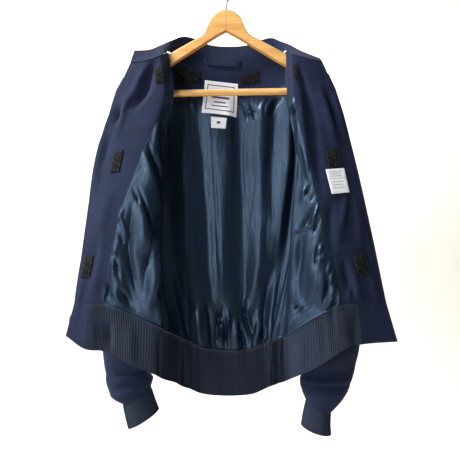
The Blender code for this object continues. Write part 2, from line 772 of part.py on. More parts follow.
def hanger_bar(made_of):
    shape = bmesh.new()
    bmesh.ops.create_cone(
        shape,
        cap_ends=True,
        segments=20,
        radius1=BAR_RADIUS * MM,
        radius2=BAR_RADIUS * MM,
        depth=2 * BAR_HALF * MM,
    )
    mesh = bpy.data.meshes.new("hanger_bar")
    shape.to_mesh(mesh)
    shape.free()
    made = add_object("hanger_bar", mesh, made_of)
    made.location = (0, 0, BAR_Z * MM)
    made.rotation_euler = (0, math.radians(90) - math.atan(ARM_TILT), 0)
    return made


def hanger_hook(made_of):
    """The wire hook: a stem, then a round crook whose inner top is the origin."""
    centre_z = WIRE_RADIUS - HOOK_RADIUS
    stem_foot = WOOD_OUTLINE[0][1] + 0.35
    route = [(0.0, stem_foot), (0.0, -58.0), (0.8, -52.0), (5.0, -45.0), (11.5, -38.0)]
    for k in range(CROOK_STEPS + 1):
        angle = math.radians(CROOK_FROM + k * CROOK_TURN / CROOK_STEPS)
        route.append((HOOK_RADIUS * math.cos(angle), centre_z + HOOK_RADIUS * math.sin(angle)))
    curve = bpy.data.curves.new("hanger_hook", "CURVE")
    curve.dimensions = "3D"
    curve.bevel_depth = WIRE_RADIUS * MM
    curve.bevel_resolution = 2
    curve.use_fill_caps = True
    spline = curve.splines.new("POLY")
    spline.points.add(len(route) - 1)
    for point, (x, z) in zip(spline.points, route):
        point.co = (x * MM, 0.0, z * MM, 1.0)
    curve.materials.append(made_of)
    made = bpy.data.objects.new("hanger_hook", curve)
    bpy.context.scene.collection.objects.link(made)
    return made


def hanging_loop(collar, made_of):
    """A strap sewn down at both ends inside the collar, that hangs in a shallow U."""
    route = (
        # x, z, how far it stands off the collar
        (-40.0, -141.0, 0.5),
        (-40.5, -146.0, 1.6),
        (-37.0, -151.0, 2.4),
        (-28.0, -153.0, 2.6),
        (-8.0, -154.0, 2.6),
        (10.0, -155.0, 2.6),
        (20.0, -154.0, 2.4),
        (24.0, -149.0, 1.6),
        (25.0, -144.0, 0.5),
    )
    half_wide = 2.4
    thick = 1.0
    points = []
    for n, (x, z, off) in enumerate(route):
        before, after = route[max(n - 1, 0)], route[min(n + 1, len(route) - 1)]
        run = np.array((after[0] - before[0], after[1] - before[1]))
        run /= np.linalg.norm(run)
        side = np.array((-run[1], run[0])) * half_wide
        for sign in (-1, 1):
            px, pz = x + sign * side[0], z + sign * side[1]
            point, _ = collar.locate(px, pz, range(collar.points.shape[0] - 1))
            front = point[1] - COLLAR_HALF_THICK - off
            points.append((px, front, pz))
            points.append((px, front - thick, pz))
    faces = []
    for s in range(len(route) - 1):
        a = 4 * s
        for p, q in ((0, 2), (2, 3), (3, 1), (1, 0)):
            faces.append([a + p, a + q, a + q + 4])
            faces.append([a + p, a + q + 4, a + p + 4])
    end = 4 * (len(route) - 1)
    faces += [[0, 1, 3], [0, 3, 2], [end, end + 1, end + 3], [end, end + 3, end + 2]]
    return add_object("hanging_loop", solid_mesh("hanging_loop", points, faces), made_of, smooth=False)


def zip_frame(left, hem):
    """Where the slider sits: its middle, the way out of the cloth, down the zip, and across."""
    column = [hem.points[0, k] for k in range(HEM_STEPS + 1)]
    next_column = [hem.points[1, k] for k in range(HEM_STEPS + 1)]
    f = (SLIDER_Z - column[0][2]) / (column[-1][2] - column[0][2])
    edge = column[0] + f * (column[-1] - column[0])
    down = Vector(column[-1] - column[0]).normalized()
    inward = Vector(next_column[1] - column[1])
    inward = (inward - down * inward.dot(down)).normalized()
    out = inward.cross(down).normalized()
    if out.y < 0:
        out = -out
    return Vector(edge), out, down, inward


def join_shapes(name, shapes, cut, made_of):
    """One body from several shapes in millimetres, less the cutters."""
    made = None
    for operation, group in (("UNION", shapes), ("DIFFERENCE", cut)):
        for n, (kind, size, where) in enumerate(group):
            shape = bmesh.new()
            if kind == "box":
                bmesh.ops.create_cube(shape, size=1.0)
                bmesh.ops.scale(shape, vec=[s * MM for s in size], verts=shape.verts)
            else:
                radius, length = size
                turn = Matrix.Rotation(math.radians(90), 3, "Y")
                round_size = {"radius1": radius * MM, "radius2": radius * MM, "depth": length * MM}
                bmesh.ops.create_cone(shape, cap_ends=True, segments=16, **round_size)
                bmesh.ops.rotate(shape, cent=(0, 0, 0), matrix=turn, verts=shape.verts)
            bmesh.ops.translate(shape, vec=[w * MM for w in where], verts=shape.verts)
            mesh = bpy.data.meshes.new(f"{name}_{operation}_{n}")
            shape.to_mesh(mesh)
            shape.free()
            if made is None:
                made = add_object(name, mesh, made_of, smooth=False)
                continue
            tool = bpy.data.objects.new(f"{name}_{operation}_{n}", mesh)
            bpy.context.scene.collection.objects.link(tool)
            tool.parent = made
            tool.hide_render = True
            tool.display_type = "WIRE"
            change = made.modifiers.new(operation.title() + str(n), "BOOLEAN")
            change.operation = operation
            change.object = tool
    return made


def zip_parts(left, hem, metal):
    """The slider with its pin between two lugs, and the pull tab that hangs on the pin."""
    edge, out, down, inward = zip_frame(left, hem)
    wide, deep, _ = SLIDER_SIZE
    turn = Matrix((inward, out, -down)).transposed()
    place = edge + out * (SLIDER_OUT + deep / 2) + inward * SLIDER_ACROSS
    pin_y = deep / 2 + PIN_OUT
    lug = (LUG_WIDE, PIN_OUT + PIN_RADIUS, LUG_TALL)
    lug_y = deep / 2 + (PIN_OUT + PIN_RADIUS) / 2 - 0.1
    slider = join_shapes(
        "zip_slider",
        (
            ("box", SLIDER_SIZE, (0, 0, 0)),
            ("box", lug, (-LUG_APART / 2, lug_y, -PIN_DOWN)),
            ("box", lug, (LUG_APART / 2, lug_y, -PIN_DOWN)),
            ("bar", (PIN_RADIUS, LUG_APART + 0.2), (0, pin_y, -PIN_DOWN)),
        ),
        (),
        metal,
    )
    slider.matrix_world = Matrix.Translation(place * MM) @ turn.to_4x4()
    plate_top = -2 * PULL_EYE - 0.2
    pull = join_shapes(
        "zip_pull",
        (
            ("bar", (PULL_EYE, PULL_NECK), (0, 0, 0)),
            ("box", (PULL_NECK, PULL_THICK, 2 * PULL_EYE), (0, 0, -1.5 * PULL_EYE)),
            ("box", (PULL_WIDE, PULL_THICK, PULL_LONG + plate_top), (0, 0, (plate_top - PULL_LONG) / 2)),
        ),
        (("bar", (PULL_HOLE, 2 * PULL_WIDE), (0, 0, 0)),),
        metal,
    )
    pivot = place + out * pin_y + down * PIN_DOWN
    pull.matrix_world = Matrix.Translation(pivot * MM) @ turn.to_4x4()


def main():
    for item in list(bpy.data.objects):
        bpy.data.objects.remove(item, do_unlink=True)

    twill = material("navy_twill", (0.030, 0.040, 0.090), 0.75)
    taffeta = material("slate_taffeta", (0.075, 0.130, 0.210), 0.38)
    rib = material("navy_rib", (0.028, 0.040, 0.065), 0.85)
    hook_loop = material("hook_and_loop", (0.015, 0.018, 0.018), 0.95)
    label = material("label_white", (0.80, 0.81, 0.82), 0.8)
    wood = material("pale_wood", (0.76, 0.47, 0.19), 0.42)
    steel = material("wire_steel", (0.55, 0.55, 0.55), 0.3, 1.0)
    zinc = material("zip_metal", (0.42, 0.43, 0.44), 0.35, 1.0)

    left = front_panel(LEFT_FRONT, "left")
    right = front_panel(RIGHT_FRONT, "right")
    back = back_panel()
    hem = hem_panel(left, back, right)
    share_normals(left, back, right, hem)
    collar = collar_panel(left, back, right)

    rows = range(len(ROWS) - 1)
    front_columns = range(sum(FRONT_STEPS))
    back_columns = range(sum(BACK_STEPS))
    for side, panel in (("left", left), ("right", right)):
        all_cells = block_cells(front_columns, rows)
        facing = block_cells(range(LINE_INNER), rows)
        facing |= block_cells(range(LINE_INNER, LINE_FOLD + 1), range(YOKE_ROW))
        cloth(f"front_{side}", panel, all_cells, SHELL, twill)
        cloth(f"front_facing_{side}", panel, facing, INNER, twill)
        cloth(f"front_lining_{side}", panel, all_cells - facing, INNER, taffeta)
    neck_columns = range(BACK_STEPS[0], sum(BACK_STEPS) - BACK_STEPS[-1])
    back_cells = block_cells(back_columns, rows)
    back_facing = block_cells(neck_columns, range(NECK_FACING_ROW))
    cloth("back", back, back_cells, SHELL, twill)
    cloth("back_neck_facing", back, back_facing, INNER, twill)
    cloth("back_lining", back, back_cells - back_facing, INNER, taffeta)

    sleeve("sleeve_left", "left", LEFT_SLEEVE, twill)
    sleeve("sleeve_right", "right", RIGHT_SLEEVE, twill)
    cuff("cuff_left", LEFT_SLEEVE[-1], LEFT_CUFF, rib)
    cuff("cuff_right", RIGHT_SLEEVE[-1], RIGHT_CUFF, rib)

    tab = FRONT_STEPS[0]
    band_end = hem.points.shape[0] - 1 - tab
    hem_rows = range(HEM_STEPS)
    cloth("hem_tab_left", hem, block_cells(range(tab), hem_rows), BAND, twill)
    cloth("hem_rib", hem, block_cells(range(tab, band_end), hem_rows), BAND, rib)
    cloth("hem_tab_right", hem, block_cells(range(band_end, band_end + tab), hem_rows), BAND, twill)

    leaf = (-COLLAR_HALF_THICK, COLLAR_HALF_THICK)
    cells = block_cells(range(collar.points.shape[0] - 1), range(COLLAR_ROWS))
    cloth("collar", collar, cells, leaf, twill)
    hanging_loop(collar, twill)

    inside = range(LINE_FOLD)
    panels = {"left": (left, inside), "right": (right, inside), "back": (back, back_columns)}
    for name, (where, *corners) in PATCHES.items():
        panel, columns = panels[where]
        laid(name, panel, corners, columns, PATCH_THICK, LAID_GAP, hook_loop)
    for name, (where, *corners) in LABELS.items():
        panel, columns = panels[where]
        made_of = twill if name == "pocket_welt" else label
        laid(name, panel, corners, columns, LABEL_THICK, LABEL_OFF, made_of)

    tape = (SHELL[1] + 0.3, SHELL[1] + 0.3 + TAPE_THICK)
    tape_rows = range(ROLL_ROWS, len(ROWS) - 1)
    cloth("zip_tape_left", left, block_cells(range(1), tape_rows), tape, twill)
    cloth("zip_tape_right", right, block_cells(range(1), tape_rows), tape, twill)
    zip_parts(left, hem, zinc)

    hanger_wood(wood)
    hanger_bar(wood)
    hanger_hook(steel)


main()
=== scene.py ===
"""The looks of a lightweight jacket that hangs open on a wooden hanger.

Metres in Blender, +Z up. The tables and the panel functions are in millimetres and repeat
those of the solids. X runs across the hanger, Y runs back towards the wall, and the open
front faces -Y. Left and right are as seen from the front.
"""

import math

import bmesh
import bpy
import numpy as np
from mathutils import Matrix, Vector


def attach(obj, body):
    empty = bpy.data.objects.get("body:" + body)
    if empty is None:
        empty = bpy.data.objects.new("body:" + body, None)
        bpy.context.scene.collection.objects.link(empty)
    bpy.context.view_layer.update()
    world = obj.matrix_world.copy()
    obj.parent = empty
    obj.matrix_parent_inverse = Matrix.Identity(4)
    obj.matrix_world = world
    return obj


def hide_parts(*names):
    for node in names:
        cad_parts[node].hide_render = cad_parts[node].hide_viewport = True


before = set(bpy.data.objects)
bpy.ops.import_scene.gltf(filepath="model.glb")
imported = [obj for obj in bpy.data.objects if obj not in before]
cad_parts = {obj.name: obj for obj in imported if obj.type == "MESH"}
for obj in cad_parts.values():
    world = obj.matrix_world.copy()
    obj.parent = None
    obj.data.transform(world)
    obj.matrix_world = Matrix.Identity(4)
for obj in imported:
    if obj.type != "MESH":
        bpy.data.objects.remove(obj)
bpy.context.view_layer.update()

MM = 0.001
# Millimetres in a decimetre, the unit of the map on the cloth.
DECIMETRE = 100
# Guards against dividing by nothing, and the start of a search for the nearest.
TINY = 1e-9
SHORTEST = 1e-6
FAR = 1e9
BODY = "jacket"

# Camera: it looks straight back, level with the jacket's middle, from where the photograph
# was taken. One pixel covers MM_PER_PIXEL at the hanger's plane.
CAMERA_AT = (0.0074, -0.750, -0.473)
SENSOR = 36.0
FRAME_PIXELS = 460
MM_PER_PIXEL = 1.85
LENS = SENSOR * abs(CAMERA_AT[1]) / (FRAME_PIXELS * MM_PER_PIXEL * MM)

# Cloth layers, as distances out from the middle surface of a panel: the shell lies
# outside it, the lining and facings inside it.
SHELL = (0.15, 1.45)
INNER = (-1.25, -0.15)
BAND = (-1.25, 1.55)
LAID_GAP = 0.5

# Hanger
ARM_RISE_Z = -88.0
ARM_SLOPE = 0.554
ARM_TILT = 0.0175
WOOD_THICK = 12.0
CLOTH_ROLL = 9.2

# Heights down a panel, as shares of the way from its top edge to the rib seam.
LEVELS = (0.0, 0.15, 0.38, 0.70, 1.0)
LEVEL_NAMES = ("top", "yoke", "chest", "waist", "seam")
COLUMNS = (
    ("line",)
    + tuple("x_" + name for name in LEVEL_NAMES + ("hem",))
    + tuple("y_" + name for name in LEVEL_NAMES + ("hem",))
    + ("z_top", "z_seam", "z_hem")
)
ON_ARM = None

# One row for each line that runs down the cloth, from the front edge to the side seam.
LEFT_FRONT = (
    ("edge", -171, -197, -227, -245, -260, -275, -24, -28, -34, -42, -50, -52, -175, -599, -655),
    ("facing", -147, -155, -184, -213, -230, -239, -30, -36, -45, -56, -60, -61, -175, -598, -675),
    ("inner", -115, -107, -140, -184, -203, -206, -28, -38, -49, -62, -62, -62, -163, -598, -679),
    ("lining", -111, -103, -126, -148, -160, -162, -17, -31, -46, -64, -64, -64, -154, -615, -700),
    ("turn", -108, -99, -119, -121, -117, -121, -12, -28, -36, -54, -58, -58, -151, -636, -720),
    ("fold", -108, -95, -111, -112, -108, -112, -9, -20, -27, -42, -51, -51, ON_ARM, -645, -728),
    ("back", -113, -99, -118, -118, -102, -106, -9, -12, -17, -32, -41, -41, ON_ARM, -651, -735),
    ("chest", -150, -143, -148, -131, -95, -98, -9, -11, -12, -16, -29, -29, ON_ARM, -658, -742),
)
RIGHT_FRONT = (
    ("edge", 173, 200, 227, 257, 283, 303, -21, -24, -27, -31, -34, -34, -171, -602, -670),
    ("facing", 149, 164, 183, 215, 229, 236, -27, -33, -38, -44, -48, -48, -169, -602, -671),
    ("inner", 120, 120, 138, 173, 201, 208, -26, -37, -44, -53, -54, -54, -161, -600, -676),
    ("lining", 114, 116, 133, 150, 158, 162, -16, -29, -38, -46, -47, -47, -154, -622, -709),
    ("turn", 111, 114, 131, 124, 114, 117, -12, -26, -31, -26, -20, -20, -151, -659, -741),
    ("fold", 111, 111, 126, 117, 104, 107, -9, -19, -23, -16, -9, -9, ON_ARM, -667, -750),
    ("back", 116, 115, 132, 121, 99, 102, -9, -13, -15, -7, -3, -3, ON_ARM, -670, -754),
    ("chest", 150, 147, 154, 133, 95, 98, -9, -12, -12, -2, 2, 2, ON_ARM, -672, -757),
)
# The back, from its left side seam to its right.
BACK = (
    ("neck_left", -108, -108, -112, -103, -75, -78, 9, 22, 28, 20, -3, -3, ON_ARM, -675, -762),
    ("nape_left", -98, -98, -99, -90, -67, -69, 17, 26, 30, 23, 7, 7, -151, -681, -769),
    ("back_left", -62, -60, -60, -58, -48, -48, 31, 33, 33, 29, 23, 23, -164, -695, -784),
    ("centre", 0, 0, 0, 0, 0, 0, 35, 37, 37, 36, 36, 36, -165, -705, -794),
    ("back_right", 62, 62, 62, 60, 50, 51, 32, 34, 33, 31, 30, 30, -164, -700, -788),
    ("nape_right", 101, 101, 103, 92, 73, 75, 17, 26, 29, 26, 20, 20, -153, -687, -774),
    ("neck_right", 111, 111, 117, 106, 82, 84, 9, 22, 28, 22, 13, 13, ON_ARM, -680, -767),
)
# Finer steps in each step of the solids' grids, and the finer rows' height at most.
FINE_FRONT = 5
FINE_BACK = 5
FINE_ROW = 3.4
# Steps across between neighbouring lines, to which the side seam is added.
FRONT_STEPS = tuple(FINE_FRONT * n for n in (3, 3, 3, 2, 2, 2, 2, 2))
BACK_STEPS = tuple(FINE_BACK * n for n in (4, 2, 4, 4, 4, 4, 2, 4))
SOLID_ROWS = (0.0, 0.0057, 0.0196, 0.05, 0.10, 0.18, 0.27, 0.36)
SOLID_ROWS += (0.45, 0.53, 0.62, 0.71, 0.80, 0.88, 0.95, 1.0)
SOLID_UNDERARM_ROW = 9
# The rows that roll over the hanger's arm.
SOLID_ROLL_ROWS = 3
SHOULDER_TO_SEAM = 472.0
HEM_STEPS = 16
# Grid columns of a front's lines, and the rows where the facings' lower edges lie.
LINE_INNER = sum(FRONT_STEPS[:2])
LINE_FOLD = sum(FRONT_STEPS[:5])
SOLID_NECK_FACING_ROW = 4
SOLID_YOKE_ROW = 5
SOLID_ZIP_ROW = 3
# The columns of a front that the gathers reach, from its edge, and the back's columns
# beside its side seams that gathers and creases stay out of.
GATHER_COLUMNS = 16 * FINE_FRONT
BACK_MARGIN = 2 * FINE_BACK

# Side seams: shoulder end, underarm, waist, rib seam and hem.
SIDE_SEAMS = {
    "left": ((-188, 0, None), (-166, 4, -441), (-141, 0), (-88, -17, -665), (-91, -17, -749)),
    "right": ((188, 0, None), (168, 4, -441), (143, 8), (90, 6, -675), (93, 6, -761)),
}
ARMHOLE_HALF = 17.0

# The back's long folds: their troughs and crests in turn, as places in the photograph's
# frame and lifts in millimetres, at each height down it.
BACK_BAND_DOWN = (92, 110, 160, 215, 265, 310, 350)
BACK_BANDS = (
    # at each height: across, lift
    ((168, 0), (168, 0), (168, 0), (170, 0), (172, 0), (174, 0), (176, 0)),
    ((184, 0), (183, 1), (186, 3), (188, 3), (189, 3), (191, 2), (192, 0)),
    ((192, 0), (194, -4), (201, -6), (206, -6), (208, -5), (211, -4), (211, 0)),
    ((224, 0), (212, 3), (215, 2), (217, 2), (217, 2), (218, 1), (218, 0)),
    ((227, 0), (227, 4), (227, 5), (224, 4), (221, 3), (221, 2), (221, 0)),
    ((237, 0), (237, -5), (240, -6), (242, -6), (244, -7), (243, -6), (243, 0)),
    ((262, 0), (262, 5), (261, 4), (262, 3), (259, 4), (250, 0), (250, 0)),
    ((276, 0), (276, -3), (272, -4), (268, 2), (266, 0), (257, -6), (256, 0)),
    ((290, 0), (290, 4), (289, 5), (281, 6), (275, -6), (266, -10), (266, 0)),
    ((296, 0), (296, -4), (296, -7), (291, -9), (286, -11), (279, -9), (277, 0)),
    ((306, 0), (306, 0), (306, 0), (304, 0), (302, 0), (300, 0), (298, 0)),
)
# Gathers above the rib, with a crest at every fourth step across. They start at a share
# of the way down, are deepest at GATHER_FULL of the rest and shallower at the seam.
GATHER_DEPTH = 3.2
GATHER_FROM = 0.74
GATHER_FULL = 0.8
GATHER_AT_SEAM = 0.45
GATHER_ON_FACING = 0.3

# Sleeves: the outer and the inner edge of each section, its middle and half its depth.
LEFT_SLEEVE = (
    # outer x, outer z, inner x, inner z, y, half depth
    (-204, -214, -169, -453, 4, 20),
    (-218, -262, -166, -474, 5, 23),
    (-230, -335, -161, -506, 6, 25),
    (-237, -430, -153, -552, 7, 26),
    (-238, -530, -146, -607, 8, 25),
    (-235, -622, -141, -665, 8, 25),
    (-229, -696, -139, -713, 8, 24),
    (-224, -738, -147, -735, 8, 21),
    (-220, -765, -138, -748, 8, 25),
    (-209, -786, -141, -764, 8, 23),
    (-191, -796, -141, -770, 8, 20),
)
RIGHT_SLEEVE = (
    (204, -212, 172, -453, 5, 20),
    (219, -262, 170, -474, 6, 23),
    (233, -335, 165, -506, 7, 25),
    (244, -430, 158, -552, 8, 26),
    (251, -530, 150, -607, 8, 26),
    (252, -622, 143, -668, 8, 26),
    (247, -692, 138, -716, 8, 25),
    (238, -737, 140, -744, 8, 23),
    (230, -762, 139, -757, 8, 26),
    (216, -788, 145, -777, 8, 24),
    (194, -812, 151, -792, 8, 20),
)
LEFT_CUFF = ((-187, -817, -135, -788, 8, 21), (-181, -841, -127, -809, 8, 21))
RIGHT_CUFF = ((193, -832, 146, -814, 8, 22), (194, -852, 142, -837, 8, 22))
CUFF = (-0.9, 1.7)
CUFF_GAP = 0.5
# How far a sleeve's first ring stands off the armhole's edge: at the shoulder, and how
# much more at the underarm.
SLEEVE_OFF = (0.8, 1.5)

# The collar's upper edge, from its left end to its right end.
COLLAR_TOP = (
    # x, y, z
    (-166, -14, -148),
    (-139, -13, -146),
    (-121, -5, -135),
    (-103, 6, -121),
    (-83, 20, -106),
    (-66, 30, -104),
    (-34, 39, -113),
    (0, 41, -116),
    (40, 39, -114),
    (70, 31, -107),
    (87, 21, -108),
    (104, 9, -121),
    (119, 0, -132),
    (136, -9, -146),
    (154, -14, -156),
    (170, -14, -162),
)
COLLAR_HALF_THICK = 1.2
COLLAR_ROWS = 14
# How far the collar's foot stands off the neck seam: behind, over the arm and in front.
COLLAR_CLEAR = (0.8, 4.8, 1.7)
COLLAR_OVER_ARM = (CLOTH_ROLL, -1.4 * CLOTH_ROLL)

# Things laid on a panel: corners by x and z, from the upper left, clockwise.
PATCHES = {
    "patch_neck_back_left": ("back", (-96, -165), (-50, -168), (-50, -192), (-96, -190)),
    "patch_neck_back_right": ("back", (28, -176), (62, -168), (64, -189), (29, -192)),
    "patch_neck_left": ("left", (-126, -187), (-109, -184), (-109, -213), (-122, -216)),
    "patch_neck_right": ("right", (119, -176), (128, -182), (129, -208), (120, -204)),
    "patch_front_left_upper": ("left", (-192, -338), (-177, -334), (-183, -372), (-199, -374)),
    "patch_front_left_lower": ("left", (-242, -518), (-226, -516), (-232, -553), (-248, -555)),
    "patch_front_right_upper": ("right", (174, -334), (199, -331), (202, -362), (178, -365)),
    "patch_front_right_lower": ("right", (221, -518), (246, -514), (252, -550), (227, -554)),
}
PATCH_THICK = 1.4
LABELS = {
    "main_label": ("back", (-41, -184), (23, -191), (19, -254), (-47, -246)),
    "size_label": ("back", (-29, -254.5), (1, -257.5), (-1, -278), (-29, -276)),
    "care_label": ("right", (173, -368), (207, -364.5), (216, -407), (183, -411)),
    "pocket_welt": ("right", (121, -474), (151, -463), (152, -471), (121, -483)),
}
LABEL_THICK = 0.9
LABEL_OFF = 1.0
# Borders and neutral bars on the labels, as shares across and down: left, upper, right
# and lower edge.
LABEL_BARS = {
    "main_label": (
        (0.09, 0.11, 0.91, 0.137),
        (0.09, 0.863, 0.91, 0.89),
        (0.09, 0.137, 0.115, 0.863),
        (0.885, 0.137, 0.91, 0.863),
        (0.24, 0.46, 0.76, 0.52),
        (0.32, 0.62, 0.68, 0.66),
        (0.26, 0.74, 0.74, 0.775),
    ),
    "size_label": ((0.38, 0.38, 0.62, 0.58),),
    "care_label": (
        (0.12, 0.10, 0.80, 0.125),
        (0.12, 0.19, 0.70, 0.215),
        (0.12, 0.28, 0.76, 0.305),
        (0.03, 0.385, 0.97, 0.40),
        (0.14, 0.52, 0.82, 0.545),
        (0.14, 0.64, 0.74, 0.665),
        (0.14, 0.76, 0.80, 0.785),
    ),
}
BAR_THICK = 0.25
BAR_OFF = 0.1
# The width of a cell in the pieces laid on a panel, and how far a patch swells.
PATCH_STEP = 1.5
LABEL_STEP = 2.0
BAR_STEP = 1.0
PATCH_BULGE = 0.5
# A laid piece swells from this share of its size in from its edge, and its edge is drawn
# down by a share of its thickness.
SWELL_FROM = 0.35
EDGE_DOWN = 0.3
EDGE_NEAR = 0.1
FEWEST_CELLS = 4
# Search for the cloth behind a place: how far outside a facet still counts as on it, and a
# lead that puts the facets that hold the place before all others.
ON_FACET = 1e-4
LEAD = 1e6

# Zip teeth, in millimetres: along the edge, across it and thick, their pitch, how far they
# stand past the edge and off the shell, and how much slimmer their far ends are.
TOOTH = (1.3, 3.4, 1.6)
TOOTH_PITCH = 2.6
TOOTH_PAST = 1.1
TOOTH_OFF = 0.3
TOOTH_SLIM = 0.75
TOOTH_SIDES = ((0, 1, 3, 2), (4, 6, 7, 5), (0, 4, 5, 1), (2, 3, 7, 6), (0, 2, 6, 4), (1, 5, 7, 3))
# How far ahead to look for the way along the edge, and how many columns in for the way in.
LOOK_AHEAD = 0.5
ZIP_INWARD = 3
TAPE_THICK = 0.9
SLIDER_TOP_Z = -617.0
PIPING_RADIUS = 1.3
PIPING_SIDES = 8
PIPING_ROW = 0.06
PIPING_OFF = 0.1
PIPING_POINTS = 900

# Sewing: how far stitches stand off the cloth, in millimetres, and where their rows run, in
# columns and rows of the grid.
STITCH_OFF = 0.12
RIB_STITCH_OFF = 0.55
LAID_STITCH_OFF = 0.05
# A stitch's ends sink in, and its top rises and is narrower, by these shares of its thickness.
STITCH_SUNK = 0.2
STITCH_RISE = 0.7
STITCH_TOP = 0.5
# Pitch, length and thickness of the stitches round a laid piece, how far in from its edges
# they run as a share of its size, and the points on each side.
LAID_STITCH = (2.4, 1.7, 0.32)
INSET = 0.05
INSET_STEPS = 12
SHORT_OF_END = 0.5
FACING_SEAM = LINE_INNER - 0.8
EDGE_SEAMS = (1.0, FINE_FRONT * 0.8)
RIB_SEAMS = (0.45, 0.95)
RIB_POINTS = 700
TAB_INSET = 1.0
TAB_SEAMS = (HEM_STEPS - 0.7, 0.6)
COLLAR_SEAM = COLLAR_ROWS - 0.8
COLLAR_STITCH_OFF = 0.1
COLLAR_POINTS = 500

# Creases: each is a list of stretches seen from the front. The first two columns are the
# place in the photograph's frame of 460 pixels, across and down, then the half width and
# the lift towards the viewer in millimetres. A lift below nothing is a trough.
LEFT_CREASES = (
    # twill facing
    ((158, 58, 7, -5), (151, 74, 8, -8), (147, 89, 8, -9), (140, 101, 7, -8), (132, 112, 6, -3)),
    ((123, 104, 5, -4), (119, 116, 6, -8), (114, 130, 5, -3)),
    ((140, 84, 6, 2), (127, 103, 6, 5), (121, 119, 7, 4), (117, 138, 8, 2)),
    ((150, 62, 5, 3), (141, 78, 5, 4), (134, 92, 6, 2)),
    ((113, 128, 8, -3), (107, 148, 8, -4), (103, 170, 8, -2)),
    ((104, 138, 6, 3), (98, 165, 6, 3), (94, 200, 8, 2)),
    ((112, 185, 14, 3), (104, 215, 14, 4), (98, 250, 12, 3)),
    ((102, 225, 9, -2), (95, 255, 9, -4), (90, 285, 8, -3)),
    ((86, 262, 7, 3), (82, 290, 7, 4), (78, 308, 6, 3)),
    # lining from the neck down to the big fold
    ((166, 108, 4, -3), (163, 124, 5, -5), (165, 142, 6, -6), (170, 170, 7, -3)),
    ((162, 116, 3, 3), (157, 132, 4, 4), (157, 150, 5, 5), (162, 170, 5, 3)),
    ((148, 143, 2.4, -2), (152, 153, 3.0, -4), (157, 164, 3.2, -5), (161, 177, 3.4, -3)),
    ((143, 150, 4, 2), (148, 162, 5, 5), (152, 176, 5, 4), (155, 192, 5, 2)),
    ((145, 168, 8, 2), (152, 180, 11, 6), (157, 196, 11, 6), (159, 212, 9, 2)),
    ((138, 186, 3, -1), (145, 203, 4, -4), (150, 221, 5, -4), (148, 240, 5, -2)),
    ((133, 188, 2.2, -2), (138, 199, 2.6, -3), (140, 206, 2.4, -1)),
    ((140, 200, 10, 3), (146, 219, 12, 8), (147, 239, 12, 8), (145, 254, 8, 2)),
    ((134, 200, 3, -2), (131, 222, 6, -6), (128, 246, 8, -7), (131, 275, 9, -7), (137, 312, 6, -4)),
    ((154, 240, 6, -3), (151, 254, 5, -5), (147, 272, 5, -4), (145, 296, 4, -3)),
    (
        (164, 240, 6, 3), (166, 252, 8, 7), (162, 266, 11, 9),
        (158, 280, 12, 10), (156, 297, 10, 9), (151, 315, 6, 5),
    ),
    ((168, 272, 5, -4), (162, 283, 5, -8), (158, 297, 5, -8), (151, 314, 4, -5)),
    ((174, 278, 3, 2), (167, 285, 4, 7), (163, 291, 4, 5)),
    ((170, 292, 4, 4), (165, 306, 6, 8), (159, 324, 5, 5)),
    ((121, 222, 2.2, 2), (126, 231, 2.6, 3), (125, 243, 3.0, 2)),
    ((119, 233, 2.2, -2), (122, 240, 2.4, -3), (120, 249, 2.4, -1)),
    ((117, 242, 2.4, 2), (114, 262, 4.0, 4), (112, 282, 4.0, 2)),
    ((113, 250, 2.2, -2), (117, 266, 2.6, -3), (120, 284, 3.0, -2)),
    ((124, 254, 4, 3), (129, 274, 5, 4), (135, 296, 4, 3), (140, 312, 3, 2)),
    ((108, 283, 2.2, -3), (109, 291, 2.6, -5), (111, 300, 2.4, -3)),
    ((106, 288, 2, 2), (105, 296, 2, 3), (105, 303, 2, 2)),
    ((114, 290, 2, 2), (118, 298, 2.2, 4), (122, 305, 2, 2)),
    ((120, 288, 3, -3), (127, 299, 3, -5), (131, 307, 2.4, -3)),
    ((124, 208, 3, 2), (121, 217, 3, 3), (124, 224, 2.4, 1)),
)
